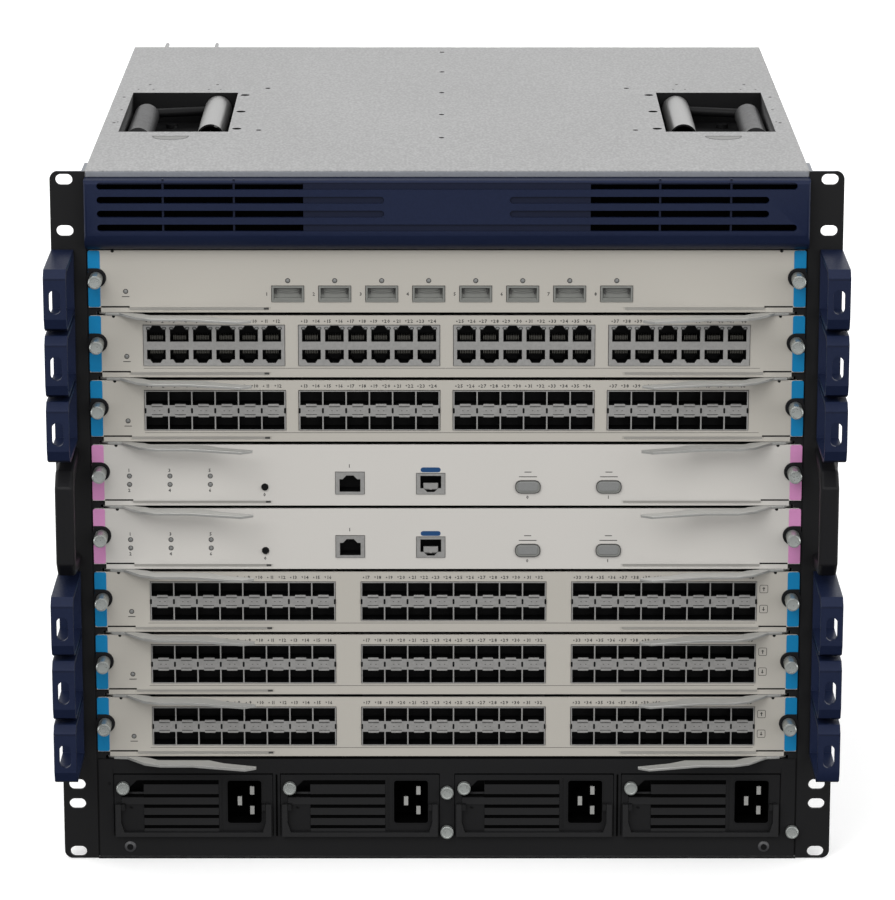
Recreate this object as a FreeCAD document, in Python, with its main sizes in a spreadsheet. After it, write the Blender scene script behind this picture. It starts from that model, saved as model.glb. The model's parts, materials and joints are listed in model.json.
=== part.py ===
import FreeCAD, Part
import os
import re
import Sketcher
from FreeCAD import Vector

# A ten-unit modular chassis switch for a nineteen-inch rack.
# Frame: X to the right, Y to the rear, Z up.  The origin lies under the front
# plane of the rack ears, in the middle of the base.
# Every size below is in millimetres and sits in one spreadsheet.

SIZES = {
    # housing of folded sheet
    "case_wide": 440.0,
    "case_tall": 441.8,
    "case_deep": 450.0,
    "case_sheet": 1.5,
    "face_sheet": 1.5,
    "lip_reach": 9.0,
    "shelf_lift": 1.2,
    "shelf_deep": 344.0,
    "rail_reach": 15.5,
    "rail_sheet": 1.2,
    "rail_front": 20.0,
    "rail_back": 330.0,
    "claw_notch": 4.8,
    # pressed wells and lifting handles in the top cover
    "well_inner": 138.9,
    "well_outer": 208.6,
    "well_front": 129.0,
    "well_back": 268.6,
    "well_drop": 20.2,
    "barrel_offset": 198.0,
    "hinge_lift": 9.5,
    "barrel_wide": 16.4,
    "barrel_front": 156.0,
    "barrel_back": 241.0,
    "saddle_wide": 8.0,
    "rod_wide": 6.0,
    "rod_play": 0.08,
    "rod_front": 149.0,
    "rod_back": 250.0,
    "rod_skew": 12.0,
    "rod_end_gap": 4.0,
    "grip_offset": 152.0,
    "grip_wide": 18.0,
    "grip_wall": 1.2,
    "grip_front": 164.0,
    "grip_back": 266.5,
    "floor_screw_x": 182.0,
    "floor_screw_y": 250.0,
    "floor_screw_wide": 8.0,
    "floor_screw_tall": 2.6,
    "cover_hole_wide": 6.0,
    "side_hole_x": 133.9,
    "side_hole_y": 139.4,
    "side_hole_step": 60.2,
    "minor_hole_x": 119.8,
    "minor_hole_y": 134.6,
    "minor_hole_step": 150.7,
    "minor_hole_wide": 3.6,
    "middle_hole_x": -3.5,
    "middle_hole_y": 108.8,
    "middle_hole_step": 79.9,
    "stud_wide": 3.0,
    "stud_long": 30.0,
    "stud_x": -198.7,
    "stud_step": 35.2,
    "stud_drop": 3.5,
    # rack ears
    "ear_sheet": 2.0,
    "ear_reach": 21.3,
    "ear_lift": 0.5,
    "ear_flange": 27.0,
    "ear_round": 5.0,
    "slot_x": 232.55,
    "slot_wide": 10.3,
    "slot_tall": 6.7,
    "slot_first": 4.95,
    "slot_step": 31.75,
    "slot_pair": 12.7,
    "slot_span": 431.8,
    # cable guides and carrying handles on the ears
    "guide_offset": 227.5,
    "guide_wide": 13.7,
    "guide_base": 2.5,
    "guide_reach": 60.5,
    "guide_wall": 2.5,
    "guide_round": 9.0,
    "guide_bevel": 4.5,
    "loop_tall": 38.8,
    "loop_step": 40.84,
    "window_wide": 6.9,
    "window_tall": 14.7,
    "window_drop": 19.3,
    "upper_guide_top": 393.3,
    "lower_guide_top": 189.2,
    "carry_inner": 226.9,
    "carry_wide": 11.6,
    "carry_thick": 9.0,
    "carry_reach": 46.0,
    "carry_top": 269.0,
    "carry_foot": 192.0,
    "carry_lean": 5.0,
    "carry_bend": 9.0,
    "carry_round": 2.5,
    # moulded bezel over the air intake
    "bezel_base": 393.4,
    "bezel_top": 438.2,
    "bezel_reach": 12.0,
    "bezel_wall": 2.5,
    "bezel_brow": 2.0,
    "bezel_chin": 11.0,
    "bezel_tuck": 6.0,
    "vent_row_base": 409.2,
    "vent_row_step": 8.55,
    "vent_tall": 4.3,
    "vent_inner": 87.0,
    "vent_outer": 212.0,
    "vent_short": 195.0,
    "groove_inner": 38.0,
    "groove_deep": 1.4,
    "rib_near": 129.0,
    "rib_far": 172.0,
    "rib_thick": 1.2,
    # cards
    "card_base": 68.1,
    "card_pitch": 40.84,
    "face_wide": 438.0,
    "face_tall": 38.8,
    "corner_wide": 7.5,
    "corner_tall": 3.1,
    "relief_deep": 0.4,
    "relief_inner": 108.0,
    "relief_outer": 195.0,
    "tray_sheet": 1.2,
    "tray_wide": 417.6,
    "tray_deep": 325.0,
    "tray_wall": 8.0,
    "post_wide": 5.0,
    "post_x": 150.0,
    "post_front": 60.0,
    "post_back": 300.0,
    "knob_x": 214.0,
    "knob_lift": 21.7,
    "knob_wide": 8.2,
    "knob_long": 14.0,
    "knob_neck": 2.0,
    "knob_neck_wide": 5.6,
    "knob_shank": 4.0,
    "knob_depth": 8.0,
    "knob_play": 0.15,
    "holder_round": 6.0,
    "holder_thick": 1.0,
    "cage_gap": 0.3,
    "cage_proud": 0.6,
    "cage_deep": 48.0,
    "pit_deep": 11.0,
    "board_lift": 7.4,
    "quad_board_lift": 6.7,
    "board_sheet": 1.6,
    "board_wide": 404.0,
    "board_front": 4.0,
    "board_back": 322.0,
    "plug_back": 334.0,
    "plug_wide": 24.0,
    "plug_tall": 12.0,
    "plug_long": 18.0,
    "plug_step": 58.0,
    "sink_x": 82.0,
    "sink_wide": 60.0,
    "sink_deep": 70.0,
    "sink_front": 150.0,
    "sink_tall": 16.0,
    # wired port blocks
    "jack_start": -185.9,
    "jack_step": 95.0,
    "jack_wide": 86.4,
    "jack_tall": 25.4,
    "jack_pitch": 14.15,
    "jack_hole": 11.5,
    "jack_key": 7.8,
    "jack_key_tip": 4.8,
    "jack_low": 4.0,
    "jack_low_tall": 6.1,
    "jack_high": 15.2,
    "jack_high_tall": 7.9,
    "jack_key_tall": 2.2,
    # optical port blocks
    "lane_pitch": 14.3,
    "lane_hole": 13.5,
    "lane_tall": 25.0,
    "lane_low": 0.5,
    "lane_low_tall": 8.4,
    "lane_high": 15.9,
    "lane_high_tall": 8.6,
    "six_start": -185.8,
    "six_step": 94.8,
    "six_wide": 86.6,
    "eight_start": -184.4,
    "eight_step": 131.0,
    "eight_wide": 114.9,
    # four-lane cages with dust plugs
    "quad_start": -107.0,
    "quad_step": 28.7,
    "quad_wide": 19.5,
    "quad_tall": 9.8,
    "quad_rim": 1.1,
    "quad_dent": 3.0,
    # supervisor face
    "wired_x": -68.8,
    "wired_wide": 17.7,
    "wired_tall": 14.0,
    "wired_hole": 12.9,
    "wired_low": 1.6,
    "wired_hole_tall": 8.0,
    "wired_key": 9.0,
    "wired_key_tip": 4.4,
    "wired_key_tall": 2.4,
    "serial_x": -18.8,
    "serial_wide": 17.5,
    "serial_tall": 13.2,
    "serial_low": 3.8,
    "cover_x": 50.0,
    "cover_step": 50.0,
    "cover_wide": 15.6,
    "cover_tall": 8.2,
    "cover_lift": 12.1,
    "cover_thick": 1.0,
    "button_x": -112.5,
    "button_lift": 11.9,
    "button_wide": 4.2,
    "button_long": 7.0,
    "button_proud": 1.2,
    "button_play": 0.15,
    "button_collar": 6.4,
    # ejector levers
    "lever_sheet": 1.6,
    "lever_gap": 0.22,
    "pivot_x": 205.0,
    "pivot_y": 6.0,
    "pin_wide": 3.0,
    "pin_play": 0.05,
    "lever_tip": 119.0,
    # power bay
    "power_base": 1.6,
    "power_top": 66.0,
    "bay_floor": 15.2,
    "bay_tall": 41.4,
    "bay_deep": 335.0,
    "bay_sheet": 1.2,
    "supply_wide": 99.6,
    "supply_tall": 40.5,
    "supply_deep": 320.0,
    "supply_inner": 54.8,
    "supply_step": 104.8,
    "supply_play": 0.35,
    "supply_lift": 0.0,
    "grille_left": 18.5,
    "grille_right": 65.8,
    "grille_base": 1.7,
    "grille_tall": 35.2,
    "grille_deep": 14.0,
    "slat_step": 7.0,
    "slat_tall": 5.6,
    "slat_gap": 0.3,
    "notch_left": 4.3,
    "notch_reach": 10.0,
    "slat_thick": 1.0,
    "slat_lean": 2.6,
    "inlet_left": 71.3,
    "inlet_wide": 21.3,
    "inlet_base": 8.6,
    "inlet_tall": 28.2,
    "inlet_deep": 20.0,
    "blade_wide": 2.4,
    "blade_tall": 5.2,
    "blade_long": 16.0,
    "blade_x": 85.4,
    "blade_base": 14.3,
    "blade_step": 13.1,
    "earth_x": 77.6,
    "earth_base": 20.1,
    "power_knob_x": 5.7,
    "power_knob_lift": 32.6,
    "power_knob_wide": 8.0,
    "power_knob_long": 4.5,
    "power_knob_neck": 1.0,
    "frame_knob_high": 44.8,
    "frame_knob_low": 18.7,
    "frame_knob_side": 217.4,
    "bail_thick": 2.4,
    "bail_gap": 1.5,
    "bail_bar": 2.8,
    "bail_arm": 3.4,
    "bail_side": 0.8,
    "bail_base": 0.6,
    "bail_pivot": 20.0,
    "bail_pin": 2.0,
    "lug_thick": 2.2,
    # backplane and fan trays
    "plane_sheet": 3.0,
    "plane_wide": 432.0,
    "plane_base": 70.0,
    "plane_top": 393.0,
    "hanger_reach": 20.0,
    "socket_deep": 11.0,
    "fan_x": 107.0,
    "fan_wide": 196.0,
    "fan_base": 76.0,
    "fan_tall": 350.0,
    "fan_front": 372.0,
    "fan_sheet": 1.2,
    "fan_face": 1.5,
    "fan_margin": 4.0,
    "fan_play": 0.5,
    "fan_bore": 168.0,
    "fan_low": 88.0,
    "fan_step": 174.0,
    "guard_step": 16.0,
    "guard_slot": 12.0,
    "guard_rib": 5.0,
    "hub_wide": 56.0,
    "hub_long": 34.0,
    "hub_gap": 1.0,
    "motor_long": 4.0,
    "shaft_wide": 6.0,
    "shaft_play": 0.05,
    "vane_root": 26.0,
    "vane_reach": 81.0,
    "vane_inset": 4.0,
    "vane_camber": 8.0,
    "vane_deep": 26.0,
    "vane_thick": 2.0,
    "vane_sweep": 16.0,
    "pull_wide": 80.0,
    "pull_thick": 8.0,
    "pull_reach": 30.0,
    "outlet_base": 22.0,
    "outlet_tall": 30.0,
    "outlet_wide": 4.0,
    "outlet_step": 9.0,
}

CARDS = 8
SUPERVISORS = (4, 5)
SUPPLIES = 4
GUARD_ROWS = 10
VENT_ROWS = 4
VANES = 7
SIDES = (("left", -1), ("right", 1))

doc = FreeCAD.newDocument("chassis_switch")
sheet = doc.addObject("Spreadsheet::Sheet", "dims")
for row, (alias, value) in enumerate(SIZES.items(), 1):
    sheet.set(f"A{row}", alias)
    sheet.set(f"B{row}", str(value))
    sheet.setAlias(f"B{row}", alias)
doc.recompute()

parts = {}


# ---------------------------------------------------------------- helpers
def link(text):
    """Rewrite a formula in plain size names so that it reads the sheet."""
    return re.sub(r"[a-z]\w*", lambda word: "dims." + word[0] if word[0] in SIZES else word[0], text)


def number(text):
    """The present value of a formula in size names."""
    value = sheet.evalExpression(link(text))
    return float(getattr(value, "Value", value))


PLANES = {"plan": ("XY_Plane", 1), "front": ("XZ_Plane", -1), "side": ("YZ_Plane", 1)}


def body_of(label, x="0", y="0", z="0"):
    """An empty body that is one sub-part, with its place bound to the sheet."""
    body = doc.addObject("PartDesign::Body", label)
    body.Label = label
    for letter, text in zip("xyz", (x, y, z)):
        if text != "0":
            body.setExpression("Placement.Base." + letter, link(text))
    parts[label] = body
    return body


def axis_of(body, role):
    return next(item for item in body.Origin.OriginFeatures if item.Role == role)


def sketch_on(body, plane, level):
    """A sketch parallel to one of the body's planes, at a level along its axis."""
    role, sign = PLANES[plane]
    sketch = body.newObject("Sketcher::SketchObject", body.Name + "_sketch")
    sketch.AttachmentSupport = [(axis_of(body, role), "")]
    sketch.MapMode = "FlatFace"
    sketch.setExpression("AttachmentOffset.Base.z", link(f"{sign} * ({level})"))
    return sketch


def pin_point(sketch, edge, end, x, y):
    """Hold one end of an edge at a place worked out from the sheet."""
    first = sketch.addConstraint([
        Sketcher.Constraint("DistanceX", edge, end, number(x)),
        Sketcher.Constraint("DistanceY", edge, end, number(y)),
    ])[0]
    sketch.setExpression(f"Constraints[{first}]", link(x))
    sketch.setExpression(f"Constraints[{first + 1}]", link(y))


def outline(sketch, points):
    """A closed outline of straight edges through points of two formulas each."""
    first = sketch.GeometryCount
    spots = [Vector(number(x), number(y), 0) for x, y in points]
    count = len(spots)
    sketch.addGeometry([Part.LineSegment(spots[i], spots[(i + 1) % count]) for i in range(count)], False)
    sketch.addConstraint([
        Sketcher.Constraint("Coincident", first + i, 2, first + (i + 1) % count, 1) for i in range(count)
    ])
    for i, (x, y) in enumerate(points):
        pin_point(sketch, first + i, 1, x, y)


def box(sketch, x_low, x_high, y_low, y_high):
    """An upright rectangle between two corners."""
    first = sketch.GeometryCount
    spots = [
        Vector(number(x), number(y), 0)
        for x, y in ((x_low, y_low), (x_high, y_low), (x_high, y_high), (x_low, y_high))
    ]
    sketch.addGeometry([Part.LineSegment(spots[i], spots[(i + 1) % 4]) for i in range(4)], False)
    sketch.addConstraint(
        [Sketcher.Constraint("Coincident", first + i, 2, first + (i + 1) % 4, 1) for i in range(4)]
        + [Sketcher.Constraint("Horizontal", first + i) for i in (0, 2)]
        + [Sketcher.Constraint("Vertical", first + i) for i in (1, 3)]
    )
    pin_point(sketch, first, 1, x_low, y_low)
    pin_point(sketch, first + 1, 2, x_high, y_high)


def disc(sketch, x, y, wide):
    """A circle by its centre and diameter."""
    centre = Vector(number(x), number(y), 0)
    edge = sketch.addGeometry(Part.Circle(centre, Vector(0, 0, 1), number(wide) / 2), False)
    pin_point(sketch, edge, 3, x, y)
    size = sketch.addConstraint(Sketcher.Constraint("Diameter", edge, number(wide)))
    sketch.setExpression(f"Constraints[{size}]", link(wide))


def pill(sketch, x_low, x_high, y_low, y_high, upright=False):
    """A slot with fully round ends, lying flat or standing upright."""
    wide, tall = f"({x_high} - ({x_low}))", f"({y_high} - ({y_low}))"
    radius = f"{wide if upright else tall} / 2"
    if upright:
        middle = f"({x_low} + {x_high}) / 2"
        ends = ((middle, f"{y_low} + {radius}"), (middle, f"{y_high} - {radius}"))
        turns = (180, 360), (0, 180)
    else:
        middle = f"({y_low} + {y_high}) / 2"
        ends = ((f"{x_low} + {radius}", middle), (f"{x_high} - {radius}", middle))
        turns = (90, 270), (270, 450)
    first = sketch.GeometryCount
    spots = [Vector(number(x), number(y), 0) for x, y in ends]
    arcs = []
    for spot, (begin, finish) in zip(spots, turns):
        ring = Part.Circle(spot, Vector(0, 0, 1), number(radius))
        arcs.append(Part.ArcOfCircle(ring, begin * 3.141592653589793 / 180, finish * 3.141592653589793 / 180))
    lines = [
        Part.LineSegment(arcs[0].EndPoint, arcs[1].StartPoint),
        Part.LineSegment(arcs[1].EndPoint, arcs[0].StartPoint),
    ]
    sketch.addGeometry(arcs + lines, False)
    sketch.addConstraint([
        Sketcher.Constraint("Tangent", first, 2, first + 2, 1),
        Sketcher.Constraint("Tangent", first + 2, 2, first + 1, 1),
        Sketcher.Constraint("Tangent", first + 1, 2, first + 3, 1),
        Sketcher.Constraint("Tangent", first + 3, 2, first, 1),
        Sketcher.Constraint("Equal", first, first + 1),
    ])
    size = sketch.addConstraint(Sketcher.Constraint("Radius", first, number(radius)))
    sketch.setExpression(f"Constraints[{size}]", link(radius))
    for arc, (x, y) in enumerate(ends):
        pin_point(sketch, first + arc, 3, x, y)


def hexagon(x, y, wide):
    """Corners of a hexagonal pillar of a given width across its flats."""
    side, half = f"{wide} / sqrt(3)", f"{wide} / 2"
    return [
        (f"{x} + {side}", y), (f"{x} + {side} / 2", f"{y} + {half}"), (f"{x} - {side} / 2", f"{y} + {half}"),
        (f"{x} - {side}", y), (f"{x} - {side} / 2", f"{y} - {half}"), (f"{x} + {side} / 2", f"{y} - {half}"),
    ]


def draw(sketch, shapes):
    """Draw a list of (function, *formulas) in one sketch."""
    for shape in shapes:
        shape[0](sketch, *shape[1:])


def extrude(body, kind, plane, start, end, shapes):
    """Pad or pocket shapes from one level to a higher one along the plane's axis."""
    sketch = sketch_on(body, plane, start)
    draw(sketch, shapes)
    feature = body.newObject("PartDesign::" + kind, f"{body.Name}_{kind.lower()}")
    feature.Profile = sketch
    feature.setExpression("Length", link(f"{end} - ({start})"))
    feature.Reversed = (plane == "front") == (kind == "Pad")
    feature.Refine = False
    return feature


def add(body, plane, start, end, *shapes):
    return extrude(body, "Pad", plane, start, end, shapes)


def cut(body, plane, start, end, *shapes):
    return extrude(body, "Pocket", plane, start, end, shapes)


def repeat(body, feature, role, step, count, second=None):
    """Copies of a feature in a row, or in a grid with a second (role, step, count).

    A minus before the role runs the row the other way.
    """
    pattern = body.newObject("PartDesign::LinearPattern", body.Name + "_row")
    pattern.Originals = [feature]
    pattern.Refine = False
    runs = [("", role, step, count)] + ([("2", *second)] if second else [])
    for suffix, name, spacing, copies in runs:
        setattr(pattern, "Direction" + suffix, (axis_of(body, name.lstrip("-")), [""]))
        setattr(pattern, "Reversed" + suffix, name.startswith("-"))
        pattern.setExpression("Length" + suffix, link(f"{spacing} * {copies - 1}"))
        setattr(pattern, "Occurrences" + suffix, copies)
    body.Tip = pattern
    return pattern


def spin(body, feature, role, count):
    """Copies of a feature about one of the body's axes."""
    pattern = body.newObject("PartDesign::PolarPattern", body.Name + "_ring")
    pattern.Originals = [feature]
    pattern.Refine = False
    pattern.Axis = (axis_of(body, role), [""])
    pattern.Angle = 360
    pattern.Occurrences = count
    body.Tip = pattern
    return pattern


def soften(body, radius, chosen):
    """Round the edges for which chosen(edge) is true."""
    doc.recompute()
    tip = body.Tip
    names = [f"Edge{i}" for i, edge in enumerate(tip.Shape.Edges, 1) if chosen(edge)]
    feature = body.newObject("PartDesign::Fillet", body.Name + "_round")
    feature.Base = (tip, names)
    feature.setExpression("Radius", link(radius))
    return feature


def along(edge, letter):
    """True for a straight edge that runs along one axis."""
    if len(edge.Vertexes) != 2 or not isinstance(edge.Curve, (Part.Line, Part.LineSegment)):
        return False
    step = edge.Vertexes[1].Point - edge.Vertexes[0].Point
    return abs(abs(getattr(step, letter)) - step.Length) < 1e-6


def knob(body, x, z, wide, length, neck, neck_wide):
    """A turned thumbscrew head in front of the face: a neck and a cap."""
    add(body, "front", f"-{neck}", "0", (disc, x, z, neck_wide))
    add(body, "front", f"-{length}", f"-{neck}", (disc, x, z, wide))


# ---------------------------------------------------------------- housing
def chassis_shell():
    """Folded box with front lips, card rails, top wells, fan and air openings at the rear."""
    body = body_of("chassis_shell")
    half = "case_wide / 2"
    inner = "(case_wide / 2 - case_sheet)"
    add(body, "front", "face_sheet", "case_deep", (box, f"-{half}", half, "0", "case_tall"))
    back = "case_deep - case_sheet"
    cut(body, "front", "face_sheet", back, (box, f"-{inner}", inner, "case_sheet", "case_tall - case_sheet"))
    add(body, "front", "0", "face_sheet", (box, f"-{half}", half, "0", "case_sheet"))
    # shelf between the cards and the intake, and the wells for the lifting handles
    shelf = "card_base + 7 * card_pitch + face_tall + shelf_lift"
    add(body, "front", "face_sheet", "shelf_deep", (box, f"-{inner}", inner, shelf, f"{shelf} + case_sheet"))
    for sign in (-1, 1):
        pan = (
            f"{sign} * (well_inner - case_sheet)", f"{sign} * (well_outer + case_sheet)",
            "well_front - case_sheet", "well_back + case_sheet",
        )
        well = (f"{sign} * well_inner", f"{sign} * well_outer", "well_front", "well_back")
        floor = "case_tall - well_drop"
        add(body, "plan", f"{floor} - case_sheet", "case_tall - case_sheet / 2", (box, *pan))
        cut(body, "plan", floor, "case_tall", (box, *well))
        x = f"{sign} * barrel_offset"
        axis = f"({floor} + hinge_lift)"
        add(body, "front", "barrel_front", "barrel_back", (disc, x, axis, "barrel_wide"))
        low, high = f"{x} - saddle_wide / 2", f"{x} + saddle_wide / 2"
        add(body, "front", "barrel_front", "barrel_back", (box, low, high, floor, f"{floor} + hinge_lift - barrel_wide / 4"))
        cut(body, "front", "barrel_front", "barrel_back", (disc, x, axis, "rod_wide + 2 * rod_play"))
        add(body, "plan", floor, f"{floor} + floor_screw_tall",
            (disc, f"{sign} * floor_screw_x", "floor_screw_y", "floor_screw_wide"))
    # front lips that the card faces seat on, with a hole for each thumbscrew and a slot for each claw
    lip = f"({inner} - lip_reach)"
    for sign in (-1, 1):
        add(body, "front", "face_sheet", "face_sheet + case_sheet",
            (box, f"{sign} * {lip}", f"{sign} * {inner}", "power_top", shelf))
        holes = cut(body, "front", "face_sheet", "face_sheet + case_sheet",
                    (disc, f"{sign} * knob_x", "card_base + knob_lift", "knob_shank + 2 * knob_play"))
        repeat(body, holes, "Z_Axis", "card_pitch", CARDS)
        slots = cut(body, "front", "face_sheet", "face_sheet + case_sheet",
                    (box, f"{sign} * {lip}", f"{sign} * ({lip} + claw_notch)",
                     "card_base - card_pitch + face_tall - lever_gap", "card_base + lever_gap"))
        repeat(body, slots, "Z_Axis", "card_pitch", CARDS)
        rail = add(body, "front", "rail_front", "rail_back",
                   (box, f"{sign} * ({inner} - rail_reach)", f"{sign} * {inner}", "card_base - rail_sheet", "card_base"))
        repeat(body, rail, "Z_Axis", "card_pitch", CARDS)
        add(body, "front", "plug_back + socket_deep + plane_sheet", "plug_back + socket_deep + 2 * plane_sheet",
            (box, f"{sign} * ({inner} - hanger_reach)", f"{sign} * {inner}", "plane_base", "plane_top"))
        # rear opening for a fan tray
        cut(body, "front", back, "case_deep",
            (box, f"{sign} * fan_x - fan_wide / 2 - fan_play", f"{sign} * fan_x + fan_wide / 2 + fan_play",
             "fan_base - fan_play", "fan_base + fan_tall + fan_play"))
    for column in range(SUPPLIES):
        x = supply_left(column)
        slot = cut(body, "front", back, "case_deep",
                   (box, f"{x} + outlet_step", f"{x} + outlet_step + outlet_wide",
                    "outlet_base", "outlet_base + outlet_tall"))
        repeat(body, slot, "X_Axis", "outlet_step", 9)
    # round holes beside the wells and along the middle of the cover
    for x, y, wide, step, count in (
        ("-side_hole_x", "side_hole_y", "cover_hole_wide", "side_hole_step", 3),
        ("side_hole_x", "side_hole_y", "cover_hole_wide", "side_hole_step", 3),
        ("-minor_hole_x", "minor_hole_y", "minor_hole_wide", "minor_hole_step", 2),
        ("minor_hole_x", "minor_hole_y", "minor_hole_wide", "minor_hole_step", 2),
        ("middle_hole_x", "middle_hole_y", "minor_hole_wide", "middle_hole_step", 5),
    ):
        hole = cut(body, "plan", "case_tall - case_sheet", "case_tall", (disc, x, y, wide))
        repeat(body, hole, "Y_Axis", step, count)
    # earth studs on the rear wall
    stud = add(body, "front", back, "case_deep + stud_long",
               (disc, "stud_x", "case_tall - stud_drop", "stud_wide"))
    repeat(body, stud, "X_Axis", "stud_step", 2)


def lifting_handle(side, sign):
    """A bent rod whose ends turn in the barrel, with a tubular grip."""
    label = "top_handle_" + side
    level = "case_tall - well_drop + hinge_lift"
    path = doc.addObject("Sketcher::SketchObject", label + "_path")
    path.setExpression("Placement.Base.z", link(level))
    middle = "(barrel_front + barrel_back) / 2"
    hinge, hand = f"{sign} * barrel_offset", f"{sign} * grip_offset"
    route = [
        (hinge, f"{middle} + rod_end_gap / 2"),
        (hinge, "rod_back"),
        (hand, "rod_back + rod_skew"),
        (hand, "rod_front"),
        (hinge, "rod_front"),
        (hinge, f"{middle} - rod_end_gap / 2"),
    ]
    spots = [Vector(number(x), number(y), 0) for x, y in route]
    path.addGeometry([Part.LineSegment(a, b) for a, b in zip(spots, spots[1:])], False)
    path.addConstraint([Sketcher.Constraint("Coincident", i, 2, i + 1, 1) for i in range(len(spots) - 2)])
    for i, (x, y) in enumerate(route[:-1]):
        pin_point(path, i, 1, x, y)
    pin_point(path, len(route) - 2, 2, *route[-1])
    section = doc.addObject("Part::Circle", label + "_section")
    section.setExpression("Radius", link("rod_wide / 2"))
    section.setExpression("Placement.Base.x", link(hinge))
    section.setExpression("Placement.Base.y", link(route[0][1]))
    section.setExpression("Placement.Base.z", link(level))
    section.Placement.Rotation = FreeCAD.Rotation(Vector(1, 0, 0), -90)
    doc.recompute()
    rod = doc.addObject("Part::Sweep", label + "_rod")
    rod.Sections = [section]
    rod.Spine = (path, [f"Edge{i}" for i in range(1, len(route))])
    rod.Solid = True
    rod.Transition = "Right corner"
    tube = cylinder(label + "_tube", hand, "grip_front", level, "grip_wide / 2", "grip_back - grip_front")
    hollow = cylinder(label + "_hollow", hand, "grip_front", level,
                      "grip_wide / 2 - grip_wall", "grip_back - grip_front - 4 * grip_wall")
    sleeve = doc.addObject("Part::Cut", label + "_sleeve")
    sleeve.Base, sleeve.Tool = tube, hollow
    whole = doc.addObject("Part::MultiFuse", label)
    whole.Shapes = [sleeve, rod]
    whole.Label = label
    parts[label] = whole


def cylinder(name, x, y, z, radius, length):
    """A cylinder that runs to the rear from a given place."""
    item = doc.addObject("Part::Cylinder", name)
    item.Placement.Rotation = FreeCAD.Rotation(Vector(1, 0, 0), -90)
    for letter, text in zip("xyz", (x, y, z)):
        item.setExpression("Placement.Base." + letter, link(text))
    item.setExpression("Radius", link(radius))
    item.setExpression("Height", link(length))
    return item


def rack_ear(side, sign):
    """Angle bracket: a slotted front plate and a flange along the side of the case."""
    body = body_of("rack_ear_" + side)
    near, far = f"{sign} * case_wide / 2", f"{sign} * (case_wide / 2 + ear_reach)"
    add(body, "front", "0", "ear_sheet", (box, near, far, "ear_lift", "case_tall"))
    tip = sign * number("case_wide / 2 + ear_reach")
    soften(body, "ear_round", lambda edge: along(edge, "y") and abs(edge.Vertexes[0].X - tip) < 0.01)
    add(body, "front", "ear_sheet", "ear_flange",
        (box, near, f"{near} + {sign} * ear_sheet", "ear_lift", "case_tall"))
    low, high = f"{sign} * slot_x - slot_wide / 2", f"{sign} * slot_x + slot_wide / 2"
    levels = ["slot_first", "slot_first + slot_step", "slot_first + slot_step + slot_pair",
              "slot_first + slot_span - slot_step", "slot_first + slot_span"]
    cut(body, "front", "0", "ear_sheet",
        *[(pill, low, high, f"{z} - slot_tall / 2", f"{z} + slot_tall / 2") for z in levels])


def cable_guides(side, sign):
    """Two moulded guides of three open loops each, one above the carrying handle and one below."""
    label = "cable_guides_" + side
    near = f"{sign} * guide_offset" if sign > 0 else "-(guide_offset + guide_wide)"
    pieces = []
    for name, top in (("upper", "upper_guide_top"), ("lower", "lower_guide_top")):
        body = body_of(f"{label}_{name}", x=near, z=top)
        del parts[body.Label]
        foot = "-(2 * loop_step + loop_tall)"
        add(body, "front", "-guide_base", "0", (box, "0", "guide_wide", foot, "0"))
        ring = add(body, "side", "0", "guide_wide", (outline, loop_outline("0", "guide_round")))
        repeat(body, ring, "-Z_Axis", "loop_step", 3)
        hollow = cut(body, "side", "0", "guide_wide", (outline, loop_outline("guide_wall", "guide_round - guide_wall")))
        repeat(body, hollow, "-Z_Axis", "loop_step", 3)
        window = cut(body, "front", "-guide_reach", "-guide_reach + guide_wall",
                     (pill, "(guide_wide - window_wide) / 2", "(guide_wide + window_wide) / 2",
                      "-window_drop - window_tall / 2", "-window_drop + window_tall / 2", True))
        repeat(body, window, "-Z_Axis", "loop_step", 3)
        pieces.append(body)
    both = doc.addObject("Part::Compound", label)
    both.Links = pieces
    both.Label = label
    parts[label] = both


def loop_outline(inset, turn):
    """Side view of one cable loop, its wall line moved in by the inset."""
    front, back = f"-guide_reach + {inset}", f"-guide_base * ({inset}) / guide_wall"
    top, foot = f"-({inset})", f"-loop_tall + {inset}"
    corner = 0.3
    return [
        (back, top), (f"{front} + guide_bevel", top), (front, f"{top} - guide_bevel"),
        (front, f"{foot} + {turn}"), (f"{front} + {corner} * ({turn})", f"{foot} + {corner} * ({turn})"),
        (f"{front} + {turn}", foot), (back, foot),
    ]


def carry_handle(side, sign):
    """A C-shaped grip that stands on the ear between the two cable guides."""
    near = "carry_inner" if sign > 0 else "-(carry_inner + carry_wide)"
    body = body_of("side_handle_" + side, x=near)
    reach, thick = "carry_reach", "carry_thick"
    add(body, "side", "0", "carry_wide", (outline, [
        ("0", "carry_top"), (f"-{reach} + carry_bend", "carry_top - carry_lean"),
        (f"-{reach}", "carry_top - carry_lean - carry_bend"),
        (f"-{reach}", "carry_foot + carry_lean + carry_bend"),
        (f"-{reach} + carry_bend", "carry_foot + carry_lean"), ("0", "carry_foot"),
        ("0", f"carry_foot + {thick}"), (f"-{reach} + {thick} + carry_bend / 3", f"carry_foot + {thick} + carry_lean"),
        (f"-{reach} + {thick}", f"carry_foot + {thick} + carry_lean + carry_bend / 3"),
        (f"-{reach} + {thick}", f"carry_top - {thick} - carry_lean - carry_bend / 3"),
        (f"-{reach} + {thick} + carry_bend / 3", f"carry_top - {thick} - carry_lean"), ("0", f"carry_top - {thick}"),
    ]))
    soften(body, "carry_round", lambda edge: not along(edge, "x") and min(
        abs(edge.Vertexes[0].X), abs(edge.Vertexes[0].X - number("carry_wide"))) < 0.01
        and min(v.Y for v in edge.Vertexes) < -1)


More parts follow.
